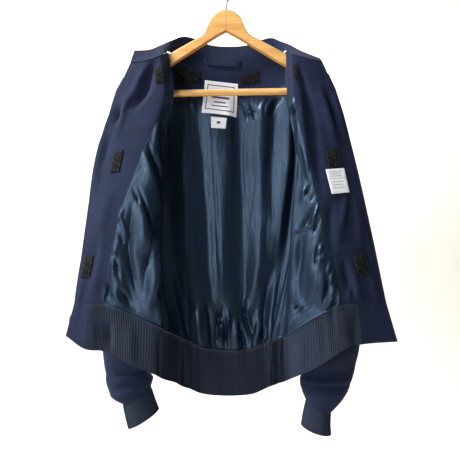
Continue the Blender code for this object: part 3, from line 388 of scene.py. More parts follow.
RIGHT_CREASES = (
    # twill facing
    (
        (297, 62, 6, -3), (304, 82, 8, -7), (310, 104, 9, -8),
        (315, 140, 10, -7), (320, 180, 9, -4), (327, 215, 8, -2),
    ),
    ((301, 75, 5, 2), (302, 110, 6, 4), (306, 145, 6, 4), (314, 182, 6, 3)),
    ((318, 84, 6, 3), (326, 108, 7, 6), (333, 132, 7, 5), (338, 150, 6, 2)),
    ((325, 88, 4, -4), (331, 104, 4.5, -7), (336, 124, 4, -5), (340, 140, 4, -2)),
    ((334, 92, 5, 2), (340, 115, 6, 3), (346, 140, 6, 2)),
    ((332, 192, 5, 2), (331, 210, 8, -4), (331, 232, 8, -5), (335, 252, 7, -3)),
    ((351, 188, 4, -2), (350, 205, 5, -5), (346, 226, 5, -4), (343, 246, 5, -2)),
    ((347, 194, 5, 3), (344, 215, 6, 5), (340, 240, 6, 3)),
    ((356, 200, 6, 2), (359, 225, 7, 4), (361, 250, 7, 2)),
    ((343, 258, 5, -2), (347, 276, 6, -5), (352, 296, 6, -4)),
    ((350, 262, 4, 2), (356, 282, 5, 4), (358, 300, 5, 3)),
    ((368, 262, 5, 2), (373, 285, 6, 4), (377, 305, 5, 2)),
    ((352, 283, 4, 2), (349, 294, 4, 4), (350, 302, 3, 2)),
    # lining
    ((297, 98, 2.6, 2), (290, 110, 3.0, 4), (282, 124, 3.0, 3)),
    ((300, 106, 2.2, -2), (292, 116, 2.6, -4), (285, 127, 2.6, -3)),
    ((296, 112, 2.4, -3), (292, 122, 3.2, -5), (295, 134, 3, -2)),
    (
        (298, 122, 4, 3), (300, 142, 5, 6), (298, 168, 5, 6),
        (293, 205, 6, 6), (288, 245, 6, 5), (285, 275, 4, 3),
    ),
    ((302, 140, 3, 1), (307, 160, 4, 3), (307, 178, 4, 2)),
    ((312, 183, 2.2, -2), (308, 190, 2.6, -4), (305, 198, 2.2, -2)),
    ((309, 184, 2.2, 2), (304, 192, 2.4, 3), (303, 200, 2.2, 1)),
    ((316, 195, 2.2, -2), (312, 199, 2.4, -3), (310, 203, 2.0, -1)),
    ((317, 203, 3, -2), (311, 214, 5, -7), (305, 226, 5, -6), (303, 232, 4, -3)),
    ((319, 204, 2.4, 2), (315, 215, 3.0, 5), (312, 226, 2.8, 3)),
    ((321, 218, 2.4, -2), (316, 227, 2.6, -4), (314, 234, 2.4, -2)),
    ((299, 205, 7, 1), (297, 225, 9, 4), (295, 250, 10, 6), (295, 280, 9, 5), (293, 303, 5, 3)),
    ((303, 234, 6, -3), (300, 256, 8, -7), (297, 280, 8, -7), (300, 300, 5, -3)),
    ((318, 232, 6, 3), (317, 255, 10, 8), (316, 282, 11, 9), (315, 300, 7, 7), (314, 314, 3, 3)),
    ((319, 242, 2.6, -3), (317, 256, 3.0, -5), (316, 270, 2.8, -3)),
    ((325, 243, 2, 2), (321, 249, 2.2, 4), (319, 254, 2, 2)),
    ((327, 250, 2, 2), (323, 256, 2.2, 4), (319, 262, 2, 2)),
    ((323, 258, 5, 3), (323, 278, 6, 6), (322, 296, 5, 5), (321, 309, 3, 2)),
    ((317, 292, 2.4, -3), (315, 302, 3.0, -6), (315, 313, 2.4, -3)),
    ((331, 262, 2, 2), (328, 271, 2.4, 4), (326, 277, 2, 1)),
    ((334, 270, 2, 2), (331, 279, 2.4, 4), (328, 286, 2, 1)),
    ((328, 276, 3, -3), (326, 290, 4, -6), (323, 302, 3, -3)),
    ((335, 284, 2.4, 3), (331, 298, 3.2, 6), (324, 309, 2.6, 4)),
    ((338, 290, 4, -3), (335, 303, 4, -6), (328, 312, 3, -3)),
    ((280, 279, 2, 2), (275, 297, 2.4, 5), (270, 318, 2.4, 4)),
    ((284, 278, 2, -2), (286, 290, 2.2, -4), (287, 304, 2, -2)),
    ((283, 284, 3, 2), (283, 304, 5, 5), (286, 324, 5, 3)),
    ((294, 300, 2.4, -4), (297, 307, 3, -6), (300, 316, 2.4, -3)),
    ((296, 301, 1.9, 2), (303, 308, 2.1, 4), (309, 314, 1.9, 2)),
    ((280, 300, 2.4, -3), (274, 311, 2.8, -6), (271, 322, 2.2, -3)),
    ((293, 318, 2.2, 2), (290, 326, 2.6, 4), (289, 334, 2.0, 2)),
)
BACK_CREASES = (
    ((243, 300, 3, -2), (246, 322, 3, -6), (253, 348, 2.6, -4)),
    ((247, 296, 3, 2), (249, 318, 3, 4), (255, 342, 2.4, 2)),
    ((212, 122, 2.4, -1), (215, 180, 2.8, -2), (219, 250, 2.8, -2), (222, 300, 3, -1)),
    ((196, 96, 3, 2), (193, 104, 4, 4), (196, 114, 3, 2)),
    ((242, 102, 3, -1), (247, 112, 3, -3), (247, 122, 3, -2)),
    ((250, 103, 2.2, -2), (254, 111, 2.4, -3), (256, 120, 2, -1)),
    ((247, 104, 2.2, 2), (251, 114, 2.4, 3), (252, 124, 2, 1)),
    ((266, 100, 2.6, 2), (262, 108, 3, 3), (262, 118, 3, 1)),
    ((284, 96, 3, -2), (275, 106, 3.4, -5), (271, 118, 3, -2)),
    ((276, 99, 3, 2), (268, 106, 3.4, 4), (266, 116, 3, 2)),
    ((246, 130, 2.4, 1), (246, 165, 2.6, 2), (248, 205, 2.4, 1)),
    ((254, 128, 2.4, -1), (255, 165, 2.6, -2), (253, 200, 2.4, -1)),
    ((273, 180, 2.6, -1), (272, 205, 2.8, -2), (274, 225, 2.6, -1)),
    ((183, 300, 2.4, 1), (186, 318, 2.6, 3), (191, 338, 2.4, 2)),
    ((199, 306, 4, 2), (199, 325, 6, 5), (201, 347, 5, 4)),
    ((207, 300, 3, -3), (211, 322, 4, -7), (212, 350, 4, -6)),
    ((192, 312, 3, -3), (192, 330, 4, -6), (193, 348, 3.4, -4)),
    ((222, 300, 4, -5), (219, 316, 4.5, -8), (216, 345, 3.4, -5)),
    ((222, 318, 3, 2), (221, 332, 4, 6), (221, 349, 3.4, 5)),
    ((229, 308, 3, 2), (229, 326, 4, 6), (230, 349, 3.4, 5)),
    ((226, 318, 2, -3), (226, 332, 2.6, -6), (226, 346, 2.2, -4)),
    ((237, 316, 3, 2), (236, 332, 5, 6), (237, 352, 4.4, 5)),
    ((240, 322, 2.6, -3), (243, 338, 3.4, -7), (245, 352, 3, -5)),
    ((262, 318, 3, 3), (258, 332, 4, 7), (254, 348, 3.4, 5)),
    ((268, 322, 2.4, -3), (265, 334, 3.2, -8), (262, 346, 2.4, -4)),
    ((272, 318, 3, 3), (271, 332, 4, 7), (270, 347, 3.4, 4)),
    ((277, 312, 2, -3), (277, 326, 2.6, -5), (277, 340, 2.2, -3)),
)
RIB_CREASES = (
    ((109, 320, 7, -3), (109, 336, 8, -6), (110, 352, 7, -4)),
    ((90, 318, 8, 2), (92, 335, 9, 3), (94, 350, 8, 2)),
    ((130, 322, 9, 3), (131, 342, 10, 4), (132, 364, 8, 3)),
    ((160, 330, 4, -4), (160, 352, 5, -8), (159, 378, 4, -4)),
    ((178, 340, 12, -4), (180, 365, 12, -6), (184, 388, 10, -4)),
    ((212, 352, 14, 3), (213, 372, 14, 5), (213, 394, 10, 3)),
    ((243, 355, 6, 2), (244, 372, 7, 3), (245, 392, 6, 2)),
    ((262, 352, 10, -3), (264, 372, 10, -4), (264, 390, 8, -2)),
    ((300, 338, 10, 3), (302, 356, 10, 4), (303, 374, 8, 2)),
    ((322, 322, 8, -2), (324, 342, 8, -3), (326, 358, 6, -2)),
    ((353, 314, 7, -3), (354, 332, 8, -6), (356, 350, 7, -3)),
)
# Rows below the rib seam over which the rib's creases come in, and columns over which all
# creases fade.
RIB_CREASE_FROM = 3
CREASE_FADE = 6
# A crease is wider on its left, lit side than on its right.
CREASE_LEAN = (1.35, 0.8)
FRONT_CREASE_COLUMNS = (-CREASE_FADE, LINE_FOLD, CREASE_FADE)

# Sleeve creases: section, width in sections, angle round, spread in radians, lift, slant.
LEFT_SLEEVE_CREASES = (
    (1.2, 0.5, 90, 0.9, -3.0, 0.30),
    (2.3, 0.5, 75, 0.8, 2.4, -0.25),
    (3.3, 0.6, 100, 1.0, -3.6, 0.30),
    (4.1, 0.5, 170, 0.9, -3.5, 0.20),
    (4.7, 0.4, 95, 0.9, 3.0, -0.30),
    (5.6, 0.4, 80, 1.1, -3.4, 0.25),
    (6.3, 0.4, -110, 0.9, 2.2, 0.30),
    (6.5, 0.3, 100, 1.2, 3.0, -0.20),
    (7.0, 0.25, -95, 1.3, -3.2, 0.12),
    (7.2, 0.25, 90, 1.3, -3.0, 0.10),
    (7.5, 0.22, -75, 1.0, 2.6, -0.10),
    (8.0, 0.20, -100, 1.3, -2.8, 0.10),
    (8.1, 0.22, 95, 1.2, 2.4, 0.05),
    (8.6, 0.22, -70, 1.0, 2.2, 0.20),
)
RIGHT_SLEEVE_CREASES = (
    (1.0, 0.5, 80, 0.9, -2.8, -0.30),
    (2.0, 0.5, 100, 0.8, 2.6, 0.25),
    (3.0, 0.6, 85, 1.0, -3.8, -0.30),
    (3.9, 0.5, 10, 0.9, -3.2, 0.20),
    (4.5, 0.4, 90, 0.9, 3.2, 0.30),
    (5.4, 0.4, 100, 1.1, -3.2, -0.25),
    (6.0, 0.4, -80, 0.9, 2.4, -0.30),
    (6.4, 0.3, 85, 1.2, 2.8, 0.20),
    (6.8, 0.25, -95, 1.3, -3.0, -0.12),
    (7.1, 0.25, 95, 1.3, -3.2, -0.10),
    (7.4, 0.22, -110, 1.0, 2.6, 0.12),
    (7.9, 0.20, -85, 1.3, -3.0, -0.10),
    (8.3, 0.22, 90, 1.2, 2.2, -0.05),
    (8.7, 0.22, -110, 1.0, 2.4, -0.20),
)
SLEEVE_FINE = 8

# Knit and weave, in ribs or wales
TWILL_WALES = 95.0
RIB_SUB = 4
RIB_DEPTH = 0.42
CUFF_FINE = 8
CUFF_RIBS = 58
# The scale at which Blender's band texture has one band a unit.
ONE_BAND = math.tau / 20
# Edges that turn by more degrees than this are shaded sharp.
SHARP_FROM = 50

# Stage and light, in metres
FLOOR_Z = -1.9
FLOOR_HALF = 5.0
BACKDROP_Y = 2.8
BACKDROP_TALL = 4.5
COVE = 1.2
COVE_STEPS = 24
FLOOR_COLOUR = (0.78, 0.76, 0.70)
FLOOR_MOTTLE = 1.02
LIGHTS = (
    # name, place, aimed at, size, watts, colour
    ("key", (-2.0, -0.75, 1.6), (-0.1, 0.0, -0.5), (0.7, 0.7), 180.0, (1.0, 0.99, 0.97)),
    ("side", (-1.6, -0.6, 0.25), (-0.1, 0.0, -0.5), (0.4, 0.9), 16.0, (1.0, 0.99, 0.97)),
    ("sheen", (-0.95, -1.6, -0.35), (0.0, 0.0, -0.45), (0.25, 1.3), 21.0, (0.97, 0.98, 1.0)),
    ("fill", (1.3, -1.6, 0.3), (0.0, 0.0, -0.45), (1.0, 1.2), 2.0, (0.93, 0.96, 1.0)),
    ("rear", (0.6, 2.0, 0.6), (0.0, 0.0, -0.4), (1.4, 1.4), 22.0, (1.0, 1.0, 1.0)),
    ("wall_wash", (0.0, 0.9, 1.6), (0.0, 2.8, -0.9), (4.4, 0.8), 125.0, (1.0, 0.99, 0.98)),
)
WORLD_COLOUR = (0.86, 0.87, 0.88)
WORLD_STRENGTH = 0.07
# What shows beyond the stage, which gives no light.
SURROUND_COLOUR = (0.80, 0.80, 0.79)
EXPOSURE = 0.0


def finer_rows():
    """Shares of the way down a panel at the finer grid's rows, and where the solids' rows are."""
    rows = []
    at = []
    for start, end in zip(SOLID_ROWS, SOLID_ROWS[1:]):
        count = math.ceil((end - start) * SHOULDER_TO_SEAM / FINE_ROW)
        at.append(len(rows))
        rows += [start + (end - start) * k / count for k in range(count)]
    at.append(len(rows))
    return tuple(rows) + (SOLID_ROWS[-1],), at


ROWS, ROW_AT = finer_rows()
UNDERARM_ROW = ROW_AT[SOLID_UNDERARM_ROW]
ROLL_ROWS = ROW_AT[SOLID_ROLL_ROWS - 1] + 1
ZIP_ROW = ROW_AT[SOLID_ZIP_ROW]
NECK_FACING_ROW = ROW_AT[SOLID_NECK_FACING_ROW]
YOKE_ROW = ROW_AT[SOLID_YOKE_ROW]


def arm_top(x):
    return ARM_RISE_Z - ARM_SLOPE * abs(x) + ARM_TILT * x


def on_arm(x):
    """The height of cloth that rolls over the arm."""
    return arm_top(x) - WOOD_THICK / 2 + CLOTH_ROLL


def eased(at, values, t):
    """A smooth curve through the values, with no overshoot."""
    step = np.diff(at)
    rise = np.diff(values) / step
    slope = np.zeros(len(values))
    slope[0] = rise[0]
    slope[-1] = rise[-1]
    for i in range(1, len(values) - 1):
        if rise[i - 1] * rise[i] > 0:
            slope[i] = 2 * rise[i - 1] * rise[i] / (rise[i - 1] + rise[i])
    i = min(max(int(np.searchsorted(at, t, side="right")) - 1, 0), len(step) - 1)
    f = (t - at[i]) / step[i]
    start = values[i] * (1 + 2 * f) * (1 - f) ** 2 + slope[i] * step[i] * f * (1 - f) ** 2
    return start + values[i + 1] * f * f * (3 - 2 * f) - slope[i + 1] * step[i] * f * f * (1 - f)


def through(points, i, f):
    """A point a share f along stretch i of a smooth curve through the points."""
    b = np.array(points[i], float)
    c = np.array(points[i + 1], float)
    a = np.array(points[i - 1], float) if i > 0 else 2 * b - c
    d = np.array(points[i + 2], float) if i + 2 < len(points) else 2 * c - b
    k = [0.0]
    for p, q in ((a, b), (b, c), (c, d)):
        k.append(k[-1] + max(np.linalg.norm(q - p), SHORTEST) ** 0.5)
    t = k[1] + (k[2] - k[1]) * f
    ab = ((k[1] - t) * a + (t - k[0]) * b) / (k[1] - k[0])
    bc = ((k[2] - t) * b + (t - k[1]) * c) / (k[2] - k[1])
    cd = ((k[3] - t) * c + (t - k[2]) * d) / (k[3] - k[2])
    abc = ((k[2] - t) * ab + (t - k[0]) * bc) / (k[2] - k[0])
    bcd = ((k[3] - t) * bc + (t - k[1]) * cd) / (k[3] - k[1])
    return ((k[2] - t) * abc + (t - k[1]) * bcd) / (k[2] - k[1])


def roll_out(drop):
    """How far out cloth lies that has rolled over the arm's top and dropped this much."""
    return CLOTH_ROLL * math.sqrt(1 - (1 - min(drop / CLOTH_ROLL, 1.0)) ** 2)


def line_point(row, t):
    """A point of one line of a panel, a share t of the way to the rib seam."""
    line = dict(zip(COLUMNS, row))
    x = eased(LEVELS, [line["x_" + name] for name in LEVEL_NAMES], t)
    y = eased(LEVELS, [line["y_" + name] for name in LEVEL_NAMES], t)
    top = line["z_top"]
    if top is ON_ARM:
        top = on_arm(line["x_top"])
        y *= roll_out(t * (top - line["z_seam"])) / CLOTH_ROLL
    return (x, y, top + t * (line["z_seam"] - top))


def side_point(side, t, way):
    """A point of the side seam. Above the underarm it parts into the armhole's edges."""
    shoulder, underarm, waist, seam, _ = SIDE_SEAMS[side]
    top = on_arm(shoulder[0])
    t_arm = ROWS[UNDERARM_ROW]
    if t <= t_arm:
        f = t / t_arm
        drop = t * SHOULDER_TO_SEAM
        open_half = ARMHOLE_HALF * math.sqrt(max(0.0, 1 - (2 * f - 1) ** 2))
        if f < 0.5:
            open_half = max(open_half, roll_out(drop))
        return (
            shoulder[0] + f * (underarm[0] - shoulder[0]),
            shoulder[1] + f * (underarm[1] - shoulder[1]) + way * open_half,
            top + f * (underarm[2] - top),
        )
    levels = (t_arm, LEVELS[3], 1.0)
    x = eased(levels, (underarm[0], waist[0], seam[0]), t)
    y = eased(levels, (underarm[1], waist[1], seam[1]), t)
    f = (t - t_arm) / (1 - t_arm)
    return (x, y, underarm[2] + f * (seam[2] - underarm[2]))


def hem_point(row):
    line = dict(zip(COLUMNS, row))
    return (line["x_hem"], line["y_hem"], line["z_hem"])


def grid_normals(points):
    """Unit normals of a grid of points, from its neighbouring points."""
    along = np.gradient(points, axis=0)
    down = np.gradient(points, axis=1)
    normal = np.cross(along, down)
    length = np.linalg.norm(normal, axis=2, keepdims=True)
    return normal / np.maximum(length, TINY)


class Panel:
    """A grid of points down and across a panel, with normals that point out of the jacket."""

    def __init__(self, points, flip):
        self.points = np.array(points, float)
        self.normals = grid_normals(self.points) * (-1 if flip else 1)


def share_normals(left, back, right, hem):
    """Gives pieces that meet at a seam the same way out there."""
    arm = UNDERARM_ROW
    for panel, i, other, n in ((left, -1, back, 0), (right, -1, back, -1)):
        for j in range(arm, len(ROWS)):
            mean = panel.normals[i, j] + other.normals[n, j]
            mean /= np.linalg.norm(mean)
            panel.normals[i, j] = mean
            other.normals[n, j] = mean
    first, last = BACK_STEPS[0], back.points.shape[0] - 1 - BACK_STEPS[-1]
    ridge = [(left, i) for i in range(LINE_FOLD, left.points.shape[0])]
    ridge += [(right, i) for i in range(LINE_FOLD, right.points.shape[0])]
    ridge += [(back, i) for i in range(back.points.shape[0]) if i <= first or i >= last]
    for panel, i in ridge:
        slope = ARM_SLOPE * (1 if panel.points[i, 0][0] > 0 else -1)
        panel.normals[i, 0] = np.array((slope, 0, 1)) / math.hypot(slope, 1)
    wide = left.points.shape[0]
    seam = [(left, i) for i in range(wide)]
    seam += [(back, i) for i in range(1, back.points.shape[0])]
    seam += [(right, i) for i in range(wide - 2, -1, -1)]
    for n, (panel, i) in enumerate(seam):
        mean = panel.normals[i, -1] + hem.normals[n, 0]
        mean /= np.linalg.norm(mean)
        panel.normals[i, -1] = mean
        hem.normals[n, 0] = mean
    left.normals[-1, -1] = back.normals[0, -1] = hem.normals[wide - 1, 0]


def gather(column, t):
    """How far a gather above the rib pushes the cloth out at a column."""
    if t <= GATHER_FROM:
        return 0.0
    f = (t - GATHER_FROM) / (1 - GATHER_FROM)
    if f < GATHER_FULL:
        fade = math.sin(math.pi / 2 * f / GATHER_FULL)
    else:
        fade = 1 - (1 - GATHER_AT_SEAM) * (f - GATHER_FULL) / (1 - GATHER_FULL)
    return GATHER_DEPTH * fade * math.sin(column * math.pi / 2)


def make_columns(lines, steps):
    """Points across a panel at one height, from the points of its lines."""
    row = []
    for i, count in enumerate(steps):
        for k in range(count):
            row.append(through(lines, i, k / count))
    row.append(np.array(lines[-1], float))
    return row


def lay_over_arm(points, columns, way):
    """Makes the first rows of some columns follow the roll over the hanger's arm."""
    for i in columns:
        for j in range(ROLL_ROWS):
            drop = ROWS[j] * SHOULDER_TO_SEAM
            points[i, j][1] = way * roll_out(drop)
            points[i, j][2] = on_arm(points[i, j][0]) - drop


def front_panel(table, side):
    rows = []
    for t in ROWS:
        lines = [line_point(line, t) for line in table] + [side_point(side, t, -1)]
        rows.append(make_columns(lines, FRONT_STEPS))
    points = np.array(rows).transpose(1, 0, 2)
    lay_over_arm(points, range(LINE_FOLD, points.shape[0] - 1), -1)
    flip = side == "right"
    normals = grid_normals(points) * (-1 if flip else 1)
    for i in range(GATHER_COLUMNS):
        share = 1 if i > LINE_INNER else GATHER_ON_FACING
        for j, t in enumerate(ROWS):
            points[i, j] += normals[i, j] * gather(i / FINE_FRONT, t) * share
    creases = LEFT_CREASES if side == "left" else RIGHT_CREASES
    lift = lift_panel(points, creases, FRONT_CREASE_COLUMNS)
    points -= normals * lift[..., None]
    return Panel(points, flip)


def back_panel():
    rows = []
    for t in ROWS:
        lines = [side_point("left", t, 1)]
        lines += [line_point(line, t) for line in BACK]
        lines += [side_point("right", t, 1)]
        rows.append(make_columns(lines, BACK_STEPS))
    points = np.array(rows).transpose(1, 0, 2)
    last = points.shape[0] - 1
    lay_over_arm(points, range(1, BACK_STEPS[0] + 1), 1)
    lay_over_arm(points, range(last - BACK_STEPS[-1], last), 1)
    places = in_picture(points)
    for i in range(BACK_MARGIN, last - BACK_MARGIN):
        for j, t in enumerate(ROWS):
            points[i, j][1] += gather(i / FINE_BACK, t) - band_lift(*places[i, j])
    normals = grid_normals(points)
    lift = lift_panel(points, BACK_CREASES, (BACK_MARGIN, last - BACK_MARGIN, BACK_MARGIN))
    points -= normals * lift[..., None]
    return Panel(points, False)


def hem_panel(left, back, right):
    """The rib band's grid, from the rib seam's points down to the hem."""
    tops = [left.points[i, -1] for i in range(left.points.shape[0])]
    tops += [back.points[i, -1] for i in range(1, back.points.shape[0])]
    tops += [right.points[i, -1] for i in range(right.points.shape[0] - 2, -1, -1)]
    side_left = SIDE_SEAMS["left"][4]
    side_right = SIDE_SEAMS["right"][4]
    hems = make_columns([hem_point(r) for r in LEFT_FRONT] + [side_left], FRONT_STEPS)
    hems += make_columns([side_left] + [hem_point(r) for r in BACK] + [side_right], BACK_STEPS)[1:]
    hems += make_columns([hem_point(r) for r in RIGHT_FRONT] + [side_right], FRONT_STEPS)[-2::-1]
    columns = []
    for top, hem in zip(tops, hems):
        columns.append([top + (hem - top) * k / HEM_STEPS for k in range(HEM_STEPS + 1)])
    band = Panel(columns, False)
    places = in_picture(band.points)
    lift = sum(crease_depth(places, path) for path in RIB_CREASES)
    place = np.arange(len(columns), dtype=float)
    side, last = left.points.shape[0] - 1, len(columns) - 1
    shown = (
        (-CREASE_FADE, LINE_FOLD),
        (side + BACK_MARGIN, last - side - BACK_MARGIN),
        (last - LINE_FOLD, last + CREASE_FADE),
    )
    window = sum(faded(place, start, end, CREASE_FADE) for start, end in shown)
    down = np.clip(np.arange(HEM_STEPS + 1) / RIB_CREASE_FROM, 0, 1)
    return Panel(band.points - band.normals * (lift * window[:, None] * down)[..., None], False)


def collar_panel(left, back, right):
    """The collar's grid, from the neck seam's points up to the collar's edge."""
    neck = [left.points[i, 0] for i in range(LINE_FOLD + 1)]
    first = BACK_STEPS[0]
    last = back.points.shape[0] - 1 - BACK_STEPS[-1]
    neck += [back.points[i, 0] for i in range(first + 1, last)]
    neck += [right.points[i, 0] for i in range(LINE_FOLD, -1, -1)]
    base = np.array(neck)
    share = np.concatenate([[0], np.cumsum(np.linalg.norm(np.diff(base, axis=0), axis=1))])
    share /= share[-1]
    top = np.array(COLLAR_TOP, float)
    reach = np.concatenate([[0], np.cumsum(np.linalg.norm(np.diff(top, axis=0), axis=1))])
    reach /= reach[-1]
    columns = []
    for point, s in zip(base, share):
        i = min(max(int(np.searchsorted(reach, s, side="right")) - 1, 0), len(top) - 2)
        f = (s - reach[i]) / (reach[i + 1] - reach[i])
        edge = through(top, i, f)
        rise = edge - point
        place = sum(point[1] <= limit for limit in COLLAR_OVER_ARM)
        start = point + rise * (COLLAR_CLEAR[place] / np.linalg.norm(rise))
        columns.append([start + (edge - start) * k / COLLAR_ROWS for k in range(COLLAR_ROWS + 1)])
    return Panel(columns, False)


def oval(section, shares, out):
    """A ring round a sleeve's section, pushed out by a wall's thickness."""
    ox, oz, ix, iz, y, half = section
    centre = np.array(((ox + ix) / 2, y, (oz + iz) / 2))
    reach = np.array(((ox - ix) / 2, 0.0, (oz - iz) / 2))
    long = np.linalg.norm(reach)
    reach *= (long + out) / long
    ring = []
    for cosine, sine in shares:
        ring.append(centre + reach * cosine + np.array((0, (half + out) * sine, 0)))
    return ring


def sleeve_shares():
    """Places round a sleeve that match the panels' rows down the armhole."""
    t_arm = ROWS[UNDERARM_ROW]
    cosines = [1 - 2 * t / t_arm for t in ROWS[: UNDERARM_ROW + 1]]
    front = [(c, -math.sqrt(max(0.0, 1 - c * c))) for c in cosines]
    back = [(c, math.sqrt(max(0.0, 1 - c * c))) for c in reversed(cosines[1:-1])]
    return front + back


def armhole_ring(side, out):
    """The sleeve's first ring, just outside the panels' edges round the armhole."""
    way = -1 if side == "left" else 1
    rows = ROWS[: UNDERARM_ROW + 1]
    edge = [np.array(side_point(side, t, -1)) for t in rows]
    edge += [np.array(side_point(side, t, 1)) for t in reversed(rows[1:-1])]
    tall = edge[0][2] - edge[UNDERARM_ROW][2]
    ring = []
    for point, (cosine, sine) in zip(edge, sleeve_shares()):
        normal = np.array((0, sine / ARMHOLE_HALF, 2 * cosine / tall))
        normal /= np.linalg.norm(normal)
        low = (1 - cosine) / 2
        off = SLEEVE_OFF[0] + SLEEVE_OFF[1] * low**3
        ring.append(point + normal * out + np.array((way * off, 0, 0)))
    return ring


# Creases

def smooth_path(points, per_stretch=6):
    """A soft curve through rows of numbers, such as a crease's places, widths and depths."""
    points = [np.array(p, float) for p in points]
    made = []
    for i in range(len(points) - 1):
        for k in range(per_stretch):
            made.append(through(points, i, k / per_stretch))
    made.append(points[-1])
    return np.array(made)


def band_lift(across, down):
    """How far the back's long folds lift a place in the picture towards the viewer."""
    knots = []
    for band in BACK_BANDS:
        columns = zip(*band)
        knots.append([np.interp(down, BACK_BAND_DOWN, values) for values in columns])
    at, lifts = zip(*knots)
    if not at[0] < across < at[-1]:
        return 0.0
    return eased(at, lifts, across)


def crease_depth(at, path):
    """How far a crease lifts each place in the picture, from its nearest stretch of path."""
    path = smooth_path(path)
    best = np.full(at.shape[:-1], FAR)
    lift = np.zeros(at.shape[:-1])
    last = len(path) - 1
    for n in range(last):
        a, b = path[n], path[n + 1]
        run = b[:2] - a[:2]
        length2 = max(float(run @ run), TINY)
        f = np.clip(((at - a[:2]) @ run) / length2, 0.0, 1.0)
        near = a[:2] + f[..., None] * run
        apart = np.linalg.norm(at - near, axis=-1)
        lean = np.where(at[..., 0] < near[..., 0], CREASE_LEAN[0], CREASE_LEAN[1])
        width = (a[2] + f * (b[2] - a[2])) / MM_PER_PIXEL * lean
        depth = a[3] + f * (b[3] - a[3])
        share = (n + f) / last
        taper = np.sin(np.pi * np.clip(share, 0.0, 1.0)) ** 0.5
        closer = apart < best
        best = np.where(closer, apart, best)
        lift = np.where(closer, depth * taper * np.exp(-((apart / width) ** 2)), lift)
    return lift


def in_picture(points):
    """Where points in millimetres lie in the photograph's frame, across and down."""
    x0, y0, z0 = (c / MM for c in CAMERA_AT)
    per_pixel = MM_PER_PIXEL * (points[..., 1] - y0) / -y0
    across = FRAME_PIXELS / 2 + (points[..., 0] - x0) / per_pixel
    return np.stack([across, FRAME_PIXELS / 2 - (points[..., 2] - z0) / per_pixel], axis=-1)


def faded(place, first, last, fade):
    """1 inside a range and 0 outside it, with a straight slope at each end."""
    return np.clip((place - first) / fade, 0, 1) * np.clip((last - place) / fade, 0, 1)


def lift_panel(panel_points, creases, columns):
    """Total lift of the creases of a panel, faded at the ends of a range of columns."""
    at = in_picture(panel_points)
    total = np.zeros(at.shape[:-1])
    for path in creases:
        total += crease_depth(at, path)
    place = np.arange(panel_points.shape[0], dtype=float)
    return total * faded(place, *columns)[:, None]


# Finish

def graph_node(tree, kind, inputs=None, **settings):
    """A node with its settings, and its inputs set to values or linked to sockets."""
    made = tree.nodes.new(kind)
    for name, value in settings.items():
        setattr(made, name, value)
    for name, value in (inputs or {}).items():
        socket = made.inputs[name]
        if isinstance(value, bpy.types.NodeSocket):
            tree.links.new(value, socket)
        else:
            socket.default_value = value
    return made


def maths(tree, operation, a, b=0.0, clamp=False):
    return graph_node(tree, "ShaderNodeMath", {0: a, 1: b}, operation=operation, use_clamp=clamp).outputs[0]


def noise(tree, place, scale, detail=2.0, rough=0.5):
    inputs = {"Vector": place, "Scale": scale, "Detail": detail, "Roughness": rough}
    return graph_node(tree, "ShaderNodeTexNoise", inputs).outputs["Fac"]


def ramp(tree, fac, stops):
    """A colour ramp from (place, colour) stops."""
    made = graph_node(tree, "ShaderNodeValToRGB", {"Fac": fac})
    points = made.color_ramp.elements
    while len(points) < len(stops):
        points.new(0.5)
    for point, (place, colour) in zip(points, stops):
        point.position = place
        point.color = (*colour, 1.0)
    return made.outputs["Color"]


def mix(tree, fac, a, b, blend="MIX"):
    """Two colours mixed."""
    made = graph_node(tree, "ShaderNodeMix", data_type="RGBA", blend_type=blend)
    for socket, value in ((made.inputs[0], fac), (made.inputs[6], a), (made.inputs[7], b)):
        if isinstance(value, bpy.types.NodeSocket):
            tree.links.new(value, socket)
        elif isinstance(value, tuple):
            socket.default_value = (*value, 1.0)
        else:
            socket.default_value = value
    return made.outputs[2]


def stretched(tree, place, scale):
    inputs = {"Vector": place, "Scale": scale}
    return graph_node(tree, "ShaderNodeMapping", inputs).outputs["Vector"]


def new_material(name, **shader_values):
    made = bpy.data.materials.new(name)
    made.use_nodes = True
    tree = made.node_tree
    shader = tree.nodes["Principled BSDF"]
    for socket, value in shader_values.items():
        shader.inputs[socket.replace("_", " ")].default_value = value
    return made, tree, shader


def cloth_place(tree):
    """Places on the cloth in decimetres, across and down."""
    return graph_node(tree, "ShaderNodeUVMap", uv_map="cloth").outputs["UV"]


def bump(tree, height, strength, distance, under=None):
    inputs = {"Height": height, "Strength": strength, "Distance": distance}
    if under is not None:
        inputs["Normal"] = under
    return graph_node(tree, "ShaderNodeBump", inputs).outputs["Normal"]


def bands(tree, place, per_decimetre, direction="X", warp=0.0):
    """Parallel soft bands across the cloth."""
    inputs = {"Vector": place, "Scale": per_decimetre * ONE_BAND, "Distortion": warp, "Detail": 1.0}
    settings = {"wave_type": "BANDS", "bands_direction": direction, "wave_profile": "SIN"}
    return graph_node(tree, "ShaderNodeTexWave", inputs, **settings).outputs["Fac"]


